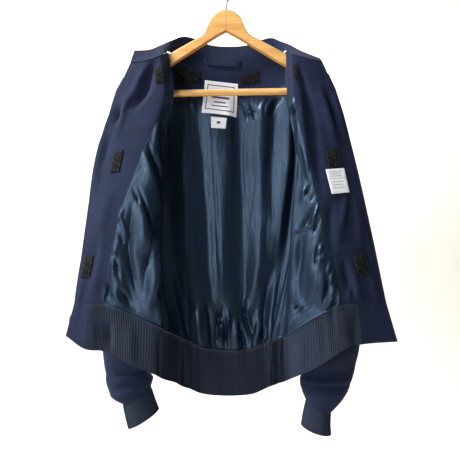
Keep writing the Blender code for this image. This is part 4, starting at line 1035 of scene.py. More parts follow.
def twill_material():
    """Navy cotton twill: fine diagonal wales, a soft mottle and paler worn edges."""
    made, tree, shader = new_material("twill", Roughness=0.86, Sheen_Weight=0.07, Sheen_Roughness=0.45)
    shader.inputs["Sheen Tint"].default_value = (0.45, 0.5, 0.75, 1.0)
    shader.inputs["Specular IOR Level"].default_value = 0.16
    place = cloth_place(tree)
    mottle = noise(tree, place, 5.0, 5.0, 0.62)
    base = ramp(tree, mottle, (
        (0.30, (0.0054, 0.0095, 0.0280)),
        (0.52, (0.0073, 0.0125, 0.0355)),
        (0.72, (0.0097, 0.0162, 0.0440)),
    ))
    wales = bands(tree, place, TWILL_WALES, "DIAGONAL", 0.4)
    yarn = noise(tree, stretched(tree, place, (60.0, 240.0, 1.0)), 3.0, 2.0)
    worn = mix(tree, maths(tree, "MULTIPLY", wales, 0.20), base, (0.020, 0.027, 0.066))
    fuzz = noise(tree, place, 420.0, 2.0, 0.7)
    colour = mix(tree, maths(tree, "MULTIPLY", fuzz, 0.22), worn, (0.006, 0.009, 0.025))
    tree.links.new(colour, shader.inputs["Base Color"])
    height = maths(tree, "ADD", wales, maths(tree, "MULTIPLY", yarn, 0.6))
    soft = bump(tree, noise(tree, place, 9.0, 4.0, 0.6), 0.22, 0.004)
    tree.links.new(bump(tree, height, 0.30, 0.0004, soft), shader.inputs["Normal"])
    return made


def taffeta_material():
    """Slate taffeta lining: a tight plain weave with a bright sheen and fine crackled creases."""
    made, tree, shader = new_material("taffeta", Roughness=0.34, Sheen_Weight=0.04, Sheen_Roughness=0.3)
    shader.inputs["Specular IOR Level"].default_value = 0.68
    shader.inputs["Specular Tint"].default_value = (0.42, 0.66, 1.0, 1.0)
    shader.inputs["Sheen Tint"].default_value = (0.5, 0.65, 0.85, 1.0)
    place = cloth_place(tree)
    shade = noise(tree, stretched(tree, place, (3.0, 0.8, 1.0)), 2.0, 4.0, 0.6)
    base = ramp(tree, shade, (
        (0.30, (0.0024, 0.0054, 0.0118)),
        (0.55, (0.0036, 0.0078, 0.0165)),
        (0.75, (0.0054, 0.0112, 0.0220)),
    ))
    warp = bands(tree, place, 130.0, "X")
    weft = bands(tree, place, 150.0, "Y")
    weave = maths(tree, "MULTIPLY", warp, weft)
    colour = mix(tree, maths(tree, "MULTIPLY", weave, 0.25), base, (0.008, 0.015, 0.029))
    tree.links.new(colour, shader.inputs["Base Color"])
    rough = noise(tree, stretched(tree, place, (6.0, 1.6, 1.0)), 3.0, 3.0)
    uneven = maths(tree, "ADD", maths(tree, "MULTIPLY", rough, 0.16), 0.32)
    tree.links.new(uneven, shader.inputs["Roughness"])
    puckers = noise(tree, stretched(tree, place, (4.5, 1.2, 1.0)), 1.8, 3.0, 0.55)
    crackle = noise(tree, place, 14.0, 6.0, 0.7)
    soft = bump(tree, puckers, 0.16, 0.008)
    fine = bump(tree, crackle, 0.10, 0.003, soft)
    tree.links.new(bump(tree, weave, 0.12, 0.0003, fine), shader.inputs["Normal"])
    return made


def rib_material():
    """Knitted rib: the columns are in the mesh, the stitches and the fuzz are here."""
    made, tree, shader = new_material("rib", Roughness=0.93, Sheen_Weight=0.10, Sheen_Roughness=0.5)
    shader.inputs["Sheen Tint"].default_value = (0.4, 0.5, 0.7, 1.0)
    shader.inputs["Specular IOR Level"].default_value = 0.2
    place = cloth_place(tree)
    shade = noise(tree, place, 4.0, 4.0, 0.6)
    base = ramp(tree, shade, (
        (0.30, (0.0072, 0.0117, 0.0225)),
        (0.55, (0.0104, 0.0158, 0.0290)),
        (0.75, (0.0142, 0.0208, 0.0365)),
    ))
    fuzz = noise(tree, place, 300.0, 3.0, 0.75)
    colour = mix(tree, maths(tree, "MULTIPLY", fuzz, 0.5), base, (0.024, 0.033, 0.056))
    tree.links.new(colour, shader.inputs["Base Color"])
    courses = bands(tree, place, 62.0, "Y", 0.8)
    height = maths(tree, "ADD", maths(tree, "MULTIPLY", courses, 0.5), fuzz)
    tree.links.new(bump(tree, height, 0.35, 0.0006), shader.inputs["Normal"])
    return made


def hook_loop_material():
    """Black hook-and-loop tape: a dense pile with pale specks in it."""
    made, tree, shader = new_material("hook_loop", Roughness=0.95, Sheen_Weight=0.01)
    shader.inputs["Specular IOR Level"].default_value = 0.08
    place = cloth_place(tree)
    pile = graph_node(tree, "ShaderNodeTexVoronoi", {"Vector": place, "Scale": 60.0}).outputs["Distance"]
    base = ramp(tree, pile, (
        (0.0, (0.030, 0.030, 0.028)),
        (0.45, (0.005, 0.006, 0.007)),
        (1.0, (0.002, 0.0025, 0.003)),
    ))
    mottle = noise(tree, place, 24.0, 3.0, 0.7)
    # Pale specks, where a noise is high, mixed into the pile's colour.
    pale_specks = ramp(tree, mottle, ((0.50, (0.0, 0.0, 0.0)), (0.62, (1.0, 1.0, 1.0))))
    colour = mix(tree, maths(tree, "MULTIPLY", pale_specks, 0.45), base, (0.055, 0.055, 0.055))
    tree.links.new(colour, shader.inputs["Base Color"])
    height = maths(tree, "ADD", pile, noise(tree, place, 160.0, 3.0, 0.8))
    tree.links.new(bump(tree, height, 0.8, 0.0012), shader.inputs["Normal"])
    return made


def label_material(name, paper, thread):
    """Woven satin label."""
    made, tree, shader = new_material(name, Roughness=0.55, Sheen_Weight=0.15)
    place = cloth_place(tree)
    weft = bands(tree, place, 110.0, "Y")
    colour = mix(tree, weft, paper, thread)
    tree.links.new(colour, shader.inputs["Base Color"])
    soft = bump(tree, noise(tree, place, 12.0, 3.0), 0.2, 0.003)
    tree.links.new(bump(tree, weft, 0.2, 0.0003, soft), shader.inputs["Normal"])
    return made


def thread_material(name, colour):
    """Sewing thread with a little shade along it."""
    made, tree, shader = new_material(name, Roughness=0.7, Sheen_Weight=0.2)
    place = graph_node(tree, "ShaderNodeTexCoord").outputs["Object"]
    shade = noise(tree, place, 900.0, 2.0)
    dark = tuple(0.7 * c for c in colour)
    light = tuple(1.25 * c for c in colour)
    tree.links.new(ramp(tree, shade, ((0.3, dark), (0.7, light))), shader.inputs["Base Color"])
    return made


def wood_material():
    """Clear-lacquered golden wood with its grain along the arms."""
    made, tree, shader = new_material("wood", Roughness=0.36, Coat_Weight=0.35, Coat_Roughness=0.18)
    place = graph_node(tree, "ShaderNodeTexCoord").outputs["Object"]
    along = stretched(tree, place, (9.0, 60.0, 60.0))
    figure = noise(tree, along, 1.6, 6.0, 0.6)
    wave_inputs = {"Vector": along, "Scale": 1.1, "Distortion": 5.0, "Detail": 3.0, "Detail Scale": 1.4}
    rings = graph_node(tree, "ShaderNodeTexWave", wave_inputs, bands_direction="Z").outputs["Fac"]
    base = ramp(tree, figure, (
        (0.25, (0.52, 0.245, 0.070)),
        (0.50, (0.70, 0.385, 0.130)),
        (0.78, (0.84, 0.530, 0.215)),
    ))
    grain = mix(tree, maths(tree, "MULTIPLY", rings, 0.30), base, (0.46, 0.20, 0.055))
    pores = noise(tree, stretched(tree, place, (40.0, 700.0, 700.0)), 2.0, 2.0)
    spots = ramp(tree, pores, ((0.60, (0.0, 0.0, 0.0)), (0.72, (1.0, 1.0, 1.0))))
    colour = mix(tree, maths(tree, "MULTIPLY", spots, 0.35), grain, (0.30, 0.13, 0.04))
    across = graph_node(tree, "ShaderNodeSeparateXYZ", {0: place}).outputs["X"]
    joint = maths(tree, "LESS_THAN", maths(tree, "ABSOLUTE", across), 0.0004)
    glued = mix(tree, maths(tree, "MULTIPLY", joint, 0.6), colour, (0.16, 0.07, 0.03))
    tree.links.new(glued, shader.inputs["Base Color"])
    tree.links.new(bump(tree, maths(tree, "ADD", rings, pores), 0.06, 0.0006), shader.inputs["Normal"])
    return made


def metal_material(name, colour, roughness, scratch=0.1):
    """Plain metal with dull, worn places."""
    made, tree, shader = new_material(name, Metallic=1.0, Roughness=roughness)
    place = graph_node(tree, "ShaderNodeTexCoord").outputs["Object"]
    worn = noise(tree, place, 260.0, 4.0, 0.65)
    dull = tuple(0.55 * c for c in colour)
    tree.links.new(ramp(tree, worn, ((0.35, dull), (0.6, colour))), shader.inputs["Base Color"])
    rough = maths(tree, "ADD", maths(tree, "MULTIPLY", worn, scratch), roughness - scratch / 2)
    tree.links.new(rough, shader.inputs["Roughness"])
    tree.links.new(bump(tree, worn, 0.08, 0.0004), shader.inputs["Normal"])
    return made


# Meshes

def lay_map(mesh, places):
    """Stores each vertex's place on the cloth, in decimetres, as a map named cloth."""
    layer = mesh.uv_layers.new(name="cloth")
    corners = np.empty(len(mesh.loops), dtype=np.int32)
    mesh.loops.foreach_get("vertex_index", corners)
    layer.data.foreach_set("uv", np.asarray(places, float)[corners].astype(np.float32).ravel())


def add_piece(name, points, faces, made_of, places=None, smooth=True, replaced=()):
    """A piece on the jacket from points in millimetres."""
    mesh = bpy.data.meshes.new(name)
    mesh.from_pydata((np.asarray(points, float) * MM).tolist(), [], faces)
    if places is not None:
        lay_map(mesh, places)
    shape = bmesh.new()
    shape.from_mesh(mesh)
    bmesh.ops.recalc_face_normals(shape, faces=shape.faces)
    shape.to_mesh(mesh)
    shape.free()
    mesh.materials.append(made_of)
    if smooth:
        mesh.shade_smooth()
        mesh.set_sharp_from_angle(angle=math.radians(SHARP_FROM))
    piece = bpy.data.objects.new(name, mesh)
    bpy.context.scene.collection.objects.link(piece)
    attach(piece, BODY)
    if replaced:
        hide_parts(*replaced)
    return piece


def cloth_places(points):
    """Distances across and down a grid in decimetres."""
    across = np.linalg.norm(np.diff(points, axis=0), axis=2).mean(axis=1)
    down = np.linalg.norm(np.diff(points, axis=1), axis=2).mean(axis=0)
    u = np.concatenate([[0], np.cumsum(across)]) / DECIMETRE
    v = np.concatenate([[0], np.cumsum(down)]) / DECIMETRE
    return np.stack(np.meshgrid(u, -v, indexing="ij"), axis=-1)


def wall(name, panel, keep, layer, made_of, replaced=(), raised=None, lowered=None):
    """A wall of cloth over the kept cells of a panel's grid.

    keep is a grid of flags, one for each cell. raised and lowered are extra distances for the
    inner and the outer face, in millimetres.
    """
    inner_out = np.full(panel.points.shape[:2], float(layer[0]))
    outer_out = np.full(panel.points.shape[:2], float(layer[1]))
    if raised is not None:
        inner_out = inner_out - raised
    if lowered is not None:
        outer_out = outer_out + lowered
    inner = panel.points + panel.normals * inner_out[..., None]
    outer = panel.points + panel.normals * outer_out[..., None]
    places = cloth_places(panel.points)
    used = np.zeros(panel.points.shape[:2], bool)
    used[:-1, :-1] |= keep
    used[1:, :-1] |= keep
    used[:-1, 1:] |= keep
    used[1:, 1:] |= keep
    index = np.full(used.shape, -1)
    index[used] = np.arange(used.sum())
    count = int(used.sum())
    i, j = np.nonzero(keep)
    quads = np.stack([index[i, j], index[i + 1, j], index[i + 1, j + 1], index[i, j + 1]], axis=1)
    faces = quads.tolist() + (quads[:, ::-1] + count).tolist()
    ends = np.concatenate([quads[:, [n, (n + 1) % 4]] for n in range(4)])
    directed = {tuple(pair) for pair in ends.tolist()}
    for a, b in sorted(directed):
        if (b, a) not in directed:
            faces.append([b, a, a + count, b + count])
    points = np.concatenate([inner[used], outer[used]])
    both = np.concatenate([places[used], places[used]])
    return add_piece(name, points, faces, made_of, both, replaced=replaced)


def cells(panel, columns, rows):
    """Flags for a block of a panel's cells."""
    keep = np.zeros((panel.points.shape[0] - 1, panel.points.shape[1] - 1), bool)
    keep[columns[0] : columns[1], rows[0] : rows[1]] = True
    return keep


def all_cells(panel):
    return cells(panel, (0, panel.points.shape[0] - 1), (0, panel.points.shape[1] - 1))


class Face:
    """The triangles of some columns of a panel, to find the cloth behind a place."""

    def __init__(self, panel, columns):
        i, j = np.meshgrid(np.arange(*columns), np.arange(panel.points.shape[1] - 1), indexing="ij")
        i, j = i.ravel(), j.ravel()
        corners = (((i, j), (i + 1, j), (i + 1, j + 1)), ((i, j), (i + 1, j + 1), (i, j + 1)))
        self.points = np.concatenate([np.stack([panel.points[c] for c in t], axis=1) for t in corners])
        self.normals = np.concatenate([np.stack([panel.normals[c] for c in t], axis=1) for t in corners])
        base = self.points[:, 0][:, (0, 2)]
        self.base = base
        self.ab = self.points[:, 1][:, (0, 2)] - base
        self.ac = self.points[:, 2][:, (0, 2)] - base
        self.det = self.ab[:, 0] * self.ac[:, 1] - self.ab[:, 1] * self.ac[:, 0]
        self.det[np.abs(self.det) < TINY] = FAR

    def locate(self, x, z):
        """The point of the frontmost facet behind a place seen from the front, and its normal."""
        to = np.array((x, z)) - self.base
        a = (to[:, 0] * self.ac[:, 1] - to[:, 1] * self.ac[:, 0]) / self.det
        b = (self.ab[:, 0] * to[:, 1] - self.ab[:, 1] * to[:, 0]) / self.det
        off = np.maximum(np.maximum(-a, -b), a + b - 1)
        n = int(np.argmin(np.where(off < ON_FACET, self.points[:, 0, 1] - LEAD, off)))
        weights = np.array((1 - a[n] - b[n], a[n], b[n]))
        normal = weights @ self.normals[n]
        return weights @ self.points[n], normal / np.linalg.norm(normal)


def between(corners, u, v):
    """A place at shares across and down a four-cornered piece."""
    a, b, c, d = corners
    return (a * (1 - u) + b * u) * (1 - v) + (d * (1 - u) + c * u) * v


def laid_on(name, face, corners, thick, off, made_of, step, bulge=0.0, replaced=()):
    """A flat piece laid on the inner side of a panel, between four corners."""
    a, b, c, d = (np.array(p, float) for p in corners)
    wide = max(np.linalg.norm(b - a), np.linalg.norm(c - d))
    tall = max(np.linalg.norm(d - a), np.linalg.norm(c - b))
    across = max(FEWEST_CELLS, round(wide / step))
    down = max(FEWEST_CELLS, round(tall / step))
    lower, upper, places = [], [], []
    for i in range(across + 1):
        for j in range(down + 1):
            u, v = i / across, j / down
            point, normal = face.locate(*between((a, b, c, d), u, v))
            rim = min(u * wide, (1 - u) * wide, v * tall, (1 - v) * tall)
            swell = bulge * min(1.0, rim / (SWELL_FROM * min(wide, tall)))
            edge = EDGE_DOWN * thick if rim < EDGE_NEAR * step else 0.0
            lower.append(point + normal * (INNER[0] - off))
            upper.append(point + normal * (INNER[0] - off - thick - swell + edge))
            places.append((u * wide / DECIMETRE, -v * tall / DECIMETRE))
    index = np.arange((across + 1) * (down + 1)).reshape(across + 1, down + 1)
    count = index.size
    cell = [index[:-1, :-1], index[1:, :-1], index[1:, 1:], index[:-1, 1:]]
    quads = np.stack(cell, axis=-1).reshape(-1, 4)
    faces = (quads + count).tolist() + quads[:, ::-1].tolist()
    rim = [*index[:, 0], *index[-1, 1:], *index[-2::-1, -1], *index[0, -2:0:-1]]
    for p, q in zip(rim, rim[1:] + rim[:1]):
        faces.append([int(p), int(q), int(q) + count, int(p) + count])
    return add_piece(name, lower + upper, faces, made_of, places * 2, replaced=replaced)


def surface_point(panel, i, j, out):
    """A point of a panel's grid at fractional column and row, and its normal."""
    i0 = min(max(int(i), 0), panel.points.shape[0] - 2)
    j0 = min(max(int(j), 0), panel.points.shape[1] - 2)
    f, g = i - i0, j - j0
    found = []
    for a in (panel.points, panel.normals):
        upper = (1 - f) * a[i0, j0] + f * a[i0 + 1, j0]
        lower = (1 - f) * a[i0, j0 + 1] + f * a[i0 + 1, j0 + 1]
        found.append((1 - g) * upper + g * lower)
    point, normal = found
    normal = normal / np.linalg.norm(normal)
    return point + normal * out, normal


def along_grid(panel, ends, out, count=160):
    """Points and normals on a straight path across a panel's grid, between (column, row) ends."""
    start, end = (np.array(e, float) for e in ends)
    steps = [start + (end - start) * k / count for k in range(count + 1)]
    points, normals = zip(*(surface_point(panel, *step, out) for step in steps))
    return list(points), list(normals)


def stitches(name, routes, made_of, pitch=3.1, long=2.2, thick=0.42):
    """Rows of short raised stitches along routes of points and normals."""
    points, faces = [], []
    for route, normals in routes:
        route, normals = np.array(route), np.array(normals)
        reach = np.concatenate([[0], np.cumsum(np.linalg.norm(np.diff(route, axis=0), axis=1))])
        for n in range(int(reach[-1] / pitch)):
            ends = []
            for s in (n * pitch, n * pitch + long):
                ends.append([np.interp(s, reach, route[:, k]) for k in range(3)])
            middle = [np.interp(n * pitch + long / 2, reach, route[:, k]) for k in range(3)]
            up = np.array([np.interp(n * pitch + long / 2, reach, normals[:, k]) for k in range(3)])
            run = np.array(ends[1]) - np.array(ends[0])
            side = np.cross(run, up)
            side = side / max(np.linalg.norm(side), TINY) * thick / 2
            up = up / np.linalg.norm(up) * thick
            first = len(points)
            low = np.array(middle) - STITCH_SUNK * up
            high = np.array(middle) + STITCH_RISE * up
            points += [ends[0], ends[1], low + side, low - side]
            points += [high + side * STITCH_TOP, high - side * STITCH_TOP]
            a, b, c, d, e, f = range(first, first + 6)
            faces += [[a, c, e], [a, e, f], [a, f, d], [a, d, c], [b, e, c], [b, f, e], [b, d, f], [b, c, d]]
    return add_piece(name, points, faces, made_of, smooth=False)


def ribbed(panel, sub, depth):
    """The panel with more columns, and a knitted rib in each of its old ones."""
    points = panel.points
    count = (points.shape[0] - 1) * sub + 1
    at = np.arange(count) / sub
    i = np.minimum(at.astype(int), points.shape[0] - 2)
    f = (at - i)[:, None, None]
    fine = Panel(points[:2], False)
    fine.normals = panel.normals[i] * (1 - f) + panel.normals[i + 1] * f
    fine.normals /= np.linalg.norm(fine.normals, axis=2, keepdims=True)
    wave = np.cos(math.tau * at)[:, None, None] * depth
    fine.points = points[i] * (1 - f) + points[i + 1] * f + fine.normals * wave
    return fine


def part_of(corners, share):
    """The corners of a share of a four-cornered piece."""
    corners = [np.array(p, float) for p in corners]
    u0, v0, u1, v1 = share
    return [between(corners, u, v) for u, v in ((u0, v0), (u1, v0), (u1, v1), (u0, v1))]


def piping(name, route, normals, radius, made_of):
    """A thin round cord in a seam."""
    points, faces, places = [], [], []
    sides = PIPING_SIDES
    count = len(route)
    reach = 0.0
    for n in range(count):
        run = route[min(n + 1, count - 1)] - route[max(n - 1, 0)]
        side = np.cross(run, normals[n])
        side /= np.linalg.norm(side)
        reach += np.linalg.norm(route[n] - route[max(n - 1, 0)])
        for k in range(sides):
            turn = math.tau * k / sides
            points.append(route[n] + (side * math.cos(turn) + normals[n] * math.sin(turn)) * radius)
            places.append((reach / DECIMETRE, k * radius / sides / DECIMETRE))
    for n in range(count - 1):
        for k in range(sides):
            a, b = n * sides + k, n * sides + (k + 1) % sides
            faces.append([a, b, b + sides, a + sides])
    faces += [list(range(sides)), list(range((count - 1) * sides, count * sides))]
    return add_piece(name, points, faces, made_of, places)


def zip_teeth(name, edge, inner, normals, made_of, stop_z=None):
    """A row of teeth down an edge, given points on it and a little way in from it."""
    edge, inner, normals = np.array(edge), np.array(inner), np.array(normals)
    reach = np.concatenate([[0], np.cumsum(np.linalg.norm(np.diff(edge, axis=0), axis=1))])
    points, faces = [], []
    for n in range(int(reach[-1] / TOOTH_PITCH)):
        s = (n + 0.5) * TOOTH_PITCH
        place, inward, out, ahead = (
            np.array([np.interp(at, reach, values[:, k]) for k in range(3)])
            for at, values in ((s, edge), (s, inner), (s, normals), (s + LOOK_AHEAD, edge))
        )
        if stop_z is not None and place[2] < stop_z:
            break
        along = (ahead - place) / np.linalg.norm(ahead - place)
        out = out / np.linalg.norm(out)
        inward = inward - place
        inward -= along * (inward @ along) + out * (inward @ out)
        inward /= np.linalg.norm(inward)
        centre = place + inward * (TOOTH[1] / 2 - TOOTH_PAST)
        centre += out * (SHELL[1] + TOOTH_OFF + TAPE_THICK + TOOTH[2] / 2)
        first = len(points)
        for a in (-1, 1):
            for b in (-1, 1):
                for c in (-1, 1):
                    slim = TOOTH_SLIM if b > 0 else 1.0
                    offset = along * a * slim * TOOTH[0] + inward * b * TOOTH[1] + out * c * slim * TOOTH[2]
                    points.append(centre + offset / 2)
        for quad in TOOTH_SIDES:
            faces.append([first + k for k in quad])
    return add_piece(name, points, faces, made_of, smooth=False)


def block(panel, columns):
    """Some columns of a panel as a panel of their own."""
    part = Panel(panel.points[columns[0] : columns[1] + 1], False)
    part.normals = panel.normals[columns[0] : columns[1] + 1]
    return part


def tube_wall(name, rings, made_of, replaced=()):
    """A tube wall from rings of outer and inner points, with open ends."""
    outer = np.array([r[0] for r in rings])
    inner = np.array([r[1] for r in rings])
    sections, count = outer.shape[:2]
    total = sections * count
    index = np.arange(total).reshape(sections, count)
    after = np.roll(index, -1, axis=1)
    quads = np.stack([index[:-1], after[:-1], after[1:], index[1:]], axis=-1).reshape(-1, 4)
    faces = quads.tolist() + (quads[:, ::-1] + total).tolist()
    for s in (0, sections - 1):
        for k in range(count):
            a, b = int(index[s, k]), int(after[s, k])
            faces.append([a, b, b + total, a + total])
    around = np.linalg.norm(np.roll(outer, -1, axis=1) - outer, axis=2).mean(axis=0)
    u = np.concatenate([[0], np.cumsum(around)[:-1]]) / DECIMETRE
    along = np.linalg.norm(np.diff(outer, axis=0), axis=2).mean(axis=1)
    v = np.concatenate([[0], np.cumsum(along)]) / DECIMETRE
    places = np.stack(np.meshgrid(u, -v), axis=-1).reshape(-1, 2)
    points = np.concatenate([outer.reshape(-1, 3), inner.reshape(-1, 3)])
    return add_piece(name, points, faces, made_of, np.concatenate([places, places]), replaced=replaced)


def sleeve_sections(table, per_stretch):
    """The sleeve's sections with smooth ones between them."""
    made = []
    for i in range(len(table) - 1):
        for k in range(per_stretch):
            made.append(through(table, i, k / per_stretch))
    made.append(np.array(table[-1], float))
    return made


def sleeve_piece(name, side, table, creases, made_of):
    """The sleeve's wall, with its creases as soft waves round and along it."""
    shares = sleeve_shares()
    first = [armhole_ring(side, out) for out in (SHELL[1], SHELL[0])]
    rings = [first]
    sections = sleeve_sections(table, SLEEVE_FINE)
    start = sections[0]
    for k in range(1, SLEEVE_FINE):
        f = k / SLEEVE_FINE
        ring = [oval(start, shares, out) for out in (SHELL[1], SHELL[0])]
        rings.append([[(1 - f) * a + f * b for a, b in zip(first[n], ring[n])] for n in range(2)])
    for n, section in enumerate(sections):
        lift = np.zeros(len(shares))
        for at, width, angle, spread, depth, slant in creases:
            for k, (cosine, sine) in enumerate(shares):
                turn = math.atan2(sine, cosine) - math.radians(angle)
                turn = (turn + math.pi) % math.tau - math.pi
                along = (n / SLEEVE_FINE - at - slant * turn) / width
                lift[k] += depth * math.exp(-(along**2) - (turn / spread) ** 2)
        ring = []
        for out in (SHELL[1], SHELL[0]):
            points = np.array(oval(section, shares, out))
            centre = points.mean(axis=0)
            away = points - centre
            away /= np.linalg.norm(away, axis=1, keepdims=True)
            ring.append(points + away * lift[:, None])
        rings.append(ring)
    return tube_wall(name, rings, made_of, (name.replace("cloth_", ""),))


def cuff_piece(name, wrist, table, made_of):
    """A knitted cuff: fine ribs round it, drawn in a little at the wrist seam."""
    near, far = np.array(wrist, float), np.array(table[0], float)
    shift = (far - near) / np.linalg.norm((far - near)[:2]) * CUFF_GAP
    sections = sleeve_sections((near + shift,) + tuple(np.array(row, float) for row in table), CUFF_FINE)
    turns = [math.tau * k / (CUFF_RIBS * RIB_SUB) for k in range(CUFF_RIBS * RIB_SUB)]
    shares = [(math.cos(turn), math.sin(turn)) for turn in turns]
    wave = [RIB_DEPTH * math.cos(CUFF_RIBS * turn) for turn in turns]
    rings = []
    for section in sections:
        ring = []
        for out in (CUFF[1], CUFF[0]):
            points = np.array([oval(section, (share,), out + w)[0] for share, w in zip(shares, wave)])
            ring.append(points)
        rings.append(ring)
    return tube_wall(name, rings, made_of, (name.replace("cloth_", ""),))


def sew_front(side, panel, made_of):
    """The rows of stitches in a front: round its facing and down its edge."""
    last = panel.points.shape[1] - 1 - SHORT_OF_END
    paths = (
        ((FACING_SEAM, YOKE_ROW + 1), (FACING_SEAM, last)),
        ((LINE_INNER, YOKE_ROW - 1), (LINE_FOLD + FINE_FRONT, YOKE_ROW - 1)),
        ((EDGE_SEAMS[0], 1), (EDGE_SEAMS[0], last)),
        ((EDGE_SEAMS[1], 2), (EDGE_SEAMS[1], last)),
    )
    routes = [along_grid(panel, path, INNER[0] - STITCH_OFF) for path in paths]
    stitches(f"stitches_facing_{side}", routes, made_of)


def sew_tab(side, grid, span, made_of):
    """The rows of stitches in a hem tab: at its inner end, its hem and its seam."""
    start, end = span[0] + TAB_INSET, span[1] - TAB_INSET
    inner = end if side == "left" else start
    paths = [((inner, SHORT_OF_END), (inner, HEM_STEPS - SHORT_OF_END))]
    paths += [((start, row), (end, row)) for row in TAB_SEAMS]
    routes = [along_grid(grid, path, BAND[0] - STITCH_OFF) for path in paths]
    stitches(f"stitches_tab_{side}", routes, made_of)


def sew_round(name, face, corners, out, made_of):
    """A row of stitches just inside the edges of a piece that is laid on a panel."""
    inset = part_of(corners, (INSET, INSET, 1 - INSET, 1 - INSET))
    points, normals = [], []
    for a, b in zip(inset, inset[1:] + inset[:1]):
        for k in range(INSET_STEPS):
            point, normal = face.locate(*(a + (b - a) * k / INSET_STEPS))
            points.append(point + normal * out)
            normals.append(normal)
    route = (points + points[:1], normals + normals[:1])
    stitches(f"stitches_{name}", [route], made_of, *LAID_STITCH)


def dress(node, made_of):
    """Gives a node of the solids its finish."""
    item = bpy.data.objects[node]
    item.data.materials.clear()
    item.data.materials.append(made_of)


def set_stage():
    """A pale floor that sweeps up into a far backdrop."""
    made, tree, shader = new_material("stage", Roughness=0.9)
    place = graph_node(tree, "ShaderNodeTexCoord").outputs["Object"]
    tone = noise(tree, place, 0.6, 2.0)
    light = tuple(min(1.0, FLOOR_MOTTLE * c) for c in FLOOR_COLOUR)
    tree.links.new(ramp(tree, tone, ((0.3, FLOOR_COLOUR), (0.7, light))), shader.inputs["Base Color"])
    profile = [(-FLOOR_HALF, 0.0)]
    for k in range(COVE_STEPS + 1):
        turn = math.radians(90 * k / COVE_STEPS)
        profile.append((BACKDROP_Y - COVE * (1 - math.sin(turn)), COVE * (1 - math.cos(turn))))
    profile.append((BACKDROP_Y, BACKDROP_TALL))
    points = [(x, y, FLOOR_Z + z) for x in (-FLOOR_HALF, FLOOR_HALF) for y, z in profile]
    count = len(profile)
    faces = [[k, k + 1, k + 1 + count, k + count] for k in range(count - 1)]
    mesh = bpy.data.meshes.new("floor_sweep")
    mesh.from_pydata(points, [], faces)
    mesh.shade_smooth()
    mesh.materials.append(made)
    sweep = bpy.data.objects.new("floor_sweep", mesh)
    bpy.context.scene.collection.objects.link(sweep)


def set_camera():
    data = bpy.data.cameras.new("camera")
    data.sensor_width = SENSOR
    data.lens = LENS
    camera = bpy.data.objects.new("camera", data)
    camera.location = CAMERA_AT
    camera.rotation_euler = (math.radians(90), 0, 0)
    bpy.context.scene.collection.objects.link(camera)
    bpy.context.scene.camera = camera


def area_light(name, place, target, size, watts, colour):
    data = bpy.data.lights.new(name, "AREA")
    data.shape = "RECTANGLE"
    data.size, data.size_y = size
    data.energy = watts
    data.color = colour
    lamp = bpy.data.objects.new(name, data)
    lamp.location = place
    lamp.rotation_euler = (Vector(target) - Vector(place)).to_track_quat("-Z", "Y").to_euler()
    bpy.context.scene.collection.objects.link(lamp)


def set_light():
    for lamp in LIGHTS:
        area_light(*lamp)
    world = bpy.data.worlds.new("studio")
    bpy.context.scene.world = world
    world.use_nodes = True
    tree = world.node_tree
    back = tree.nodes["Background"]
    back.inputs["Color"].default_value = (*WORLD_COLOUR, 1.0)
    back.inputs["Strength"].default_value = WORLD_STRENGTH
    seen = graph_node(tree, "ShaderNodeBackground", {"Color": (*SURROUND_COLOUR, 1.0)}).outputs[0]
    eye = graph_node(tree, "ShaderNodeLightPath").outputs["Is Camera Ray"]
    both = graph_node(tree, "ShaderNodeMixShader", {0: eye, 1: back.outputs[0], 2: seen}).outputs[0]
    tree.links.new(both, tree.nodes["World Output"].inputs["Surface"])
    scene = bpy.context.scene
    scene.view_settings.view_transform = "Standard"
    scene.view_settings.look = "None"
    scene.view_settings.exposure = EXPOSURE


# Build

TWILL = twill_material()
TAFFETA = taffeta_material()
RIB = rib_material()
HOOK_LOOP = hook_loop_material()
PAPER = label_material("label", (0.93, 0.94, 0.97), (0.80, 0.82, 0.87))
LABEL_INK = label_material("label_ink", (0.030, 0.040, 0.085), (0.045, 0.055, 0.10))
LABEL_GREY = label_material("label_grey", (0.36, 0.37, 0.40), (0.44, 0.45, 0.48))
THREAD = thread_material("thread", (0.026, 0.034, 0.072))
SEAM_THREAD = thread_material("seam_thread", (0.13, 0.17, 0.26))
TEETH = metal_material("teeth", (0.09, 0.09, 0.10), 0.42, 0.2)
LABEL_THREAD = thread_material("label_thread", (0.06, 0.075, 0.13))
WOOD = wood_material()
STEEL = metal_material("steel", (0.55, 0.55, 0.56), 0.26)
ZINC = metal_material("zinc", (0.36, 0.37, 0.38), 0.36, 0.2)

set_stage()
set_camera()
set_light()

left = front_panel(LEFT_FRONT, "left")
right = front_panel(RIGHT_FRONT, "right")
back = back_panel()
hem = hem_panel(left, back, right)
share_normals(left, back, right, hem)
collar = collar_panel(left, back, right)

for side, panel in (("left", left), ("right", right)):
    rows = panel.points.shape[1] - 1
    facing = cells(panel, (0, LINE_INNER), (0, rows))
    facing |= cells(panel, (LINE_INNER, LINE_FOLD + FINE_FRONT), (0, YOKE_ROW))
    whole = all_cells(panel)
    wall(f"cloth_front_{side}", panel, whole, SHELL, TWILL, (f"front_{side}",))
    wall(f"cloth_facing_{side}", panel, facing, INNER, TWILL, (f"front_facing_{side}",))
    wall(f"cloth_lining_{side}", panel, whole & ~facing, INNER, TAFFETA, (f"front_lining_{side}",))

whole = all_cells(back)
neck_facing = cells(back, (BACK_STEPS[0], back.points.shape[0] - 1 - BACK_STEPS[-1]), (0, NECK_FACING_ROW))
wall("cloth_back", back, whole, SHELL, TWILL, ("back",))
wall("cloth_neck_facing", back, neck_facing, INNER, TWILL, ("back_neck_facing",))
wall("cloth_back_lining", back, whole & ~neck_facing, INNER, TAFFETA, ("back_lining",))

wall("cloth_collar", collar, all_cells(collar), (-COLLAR_HALF_THICK, COLLAR_HALF_THICK), TWILL, ("collar",))

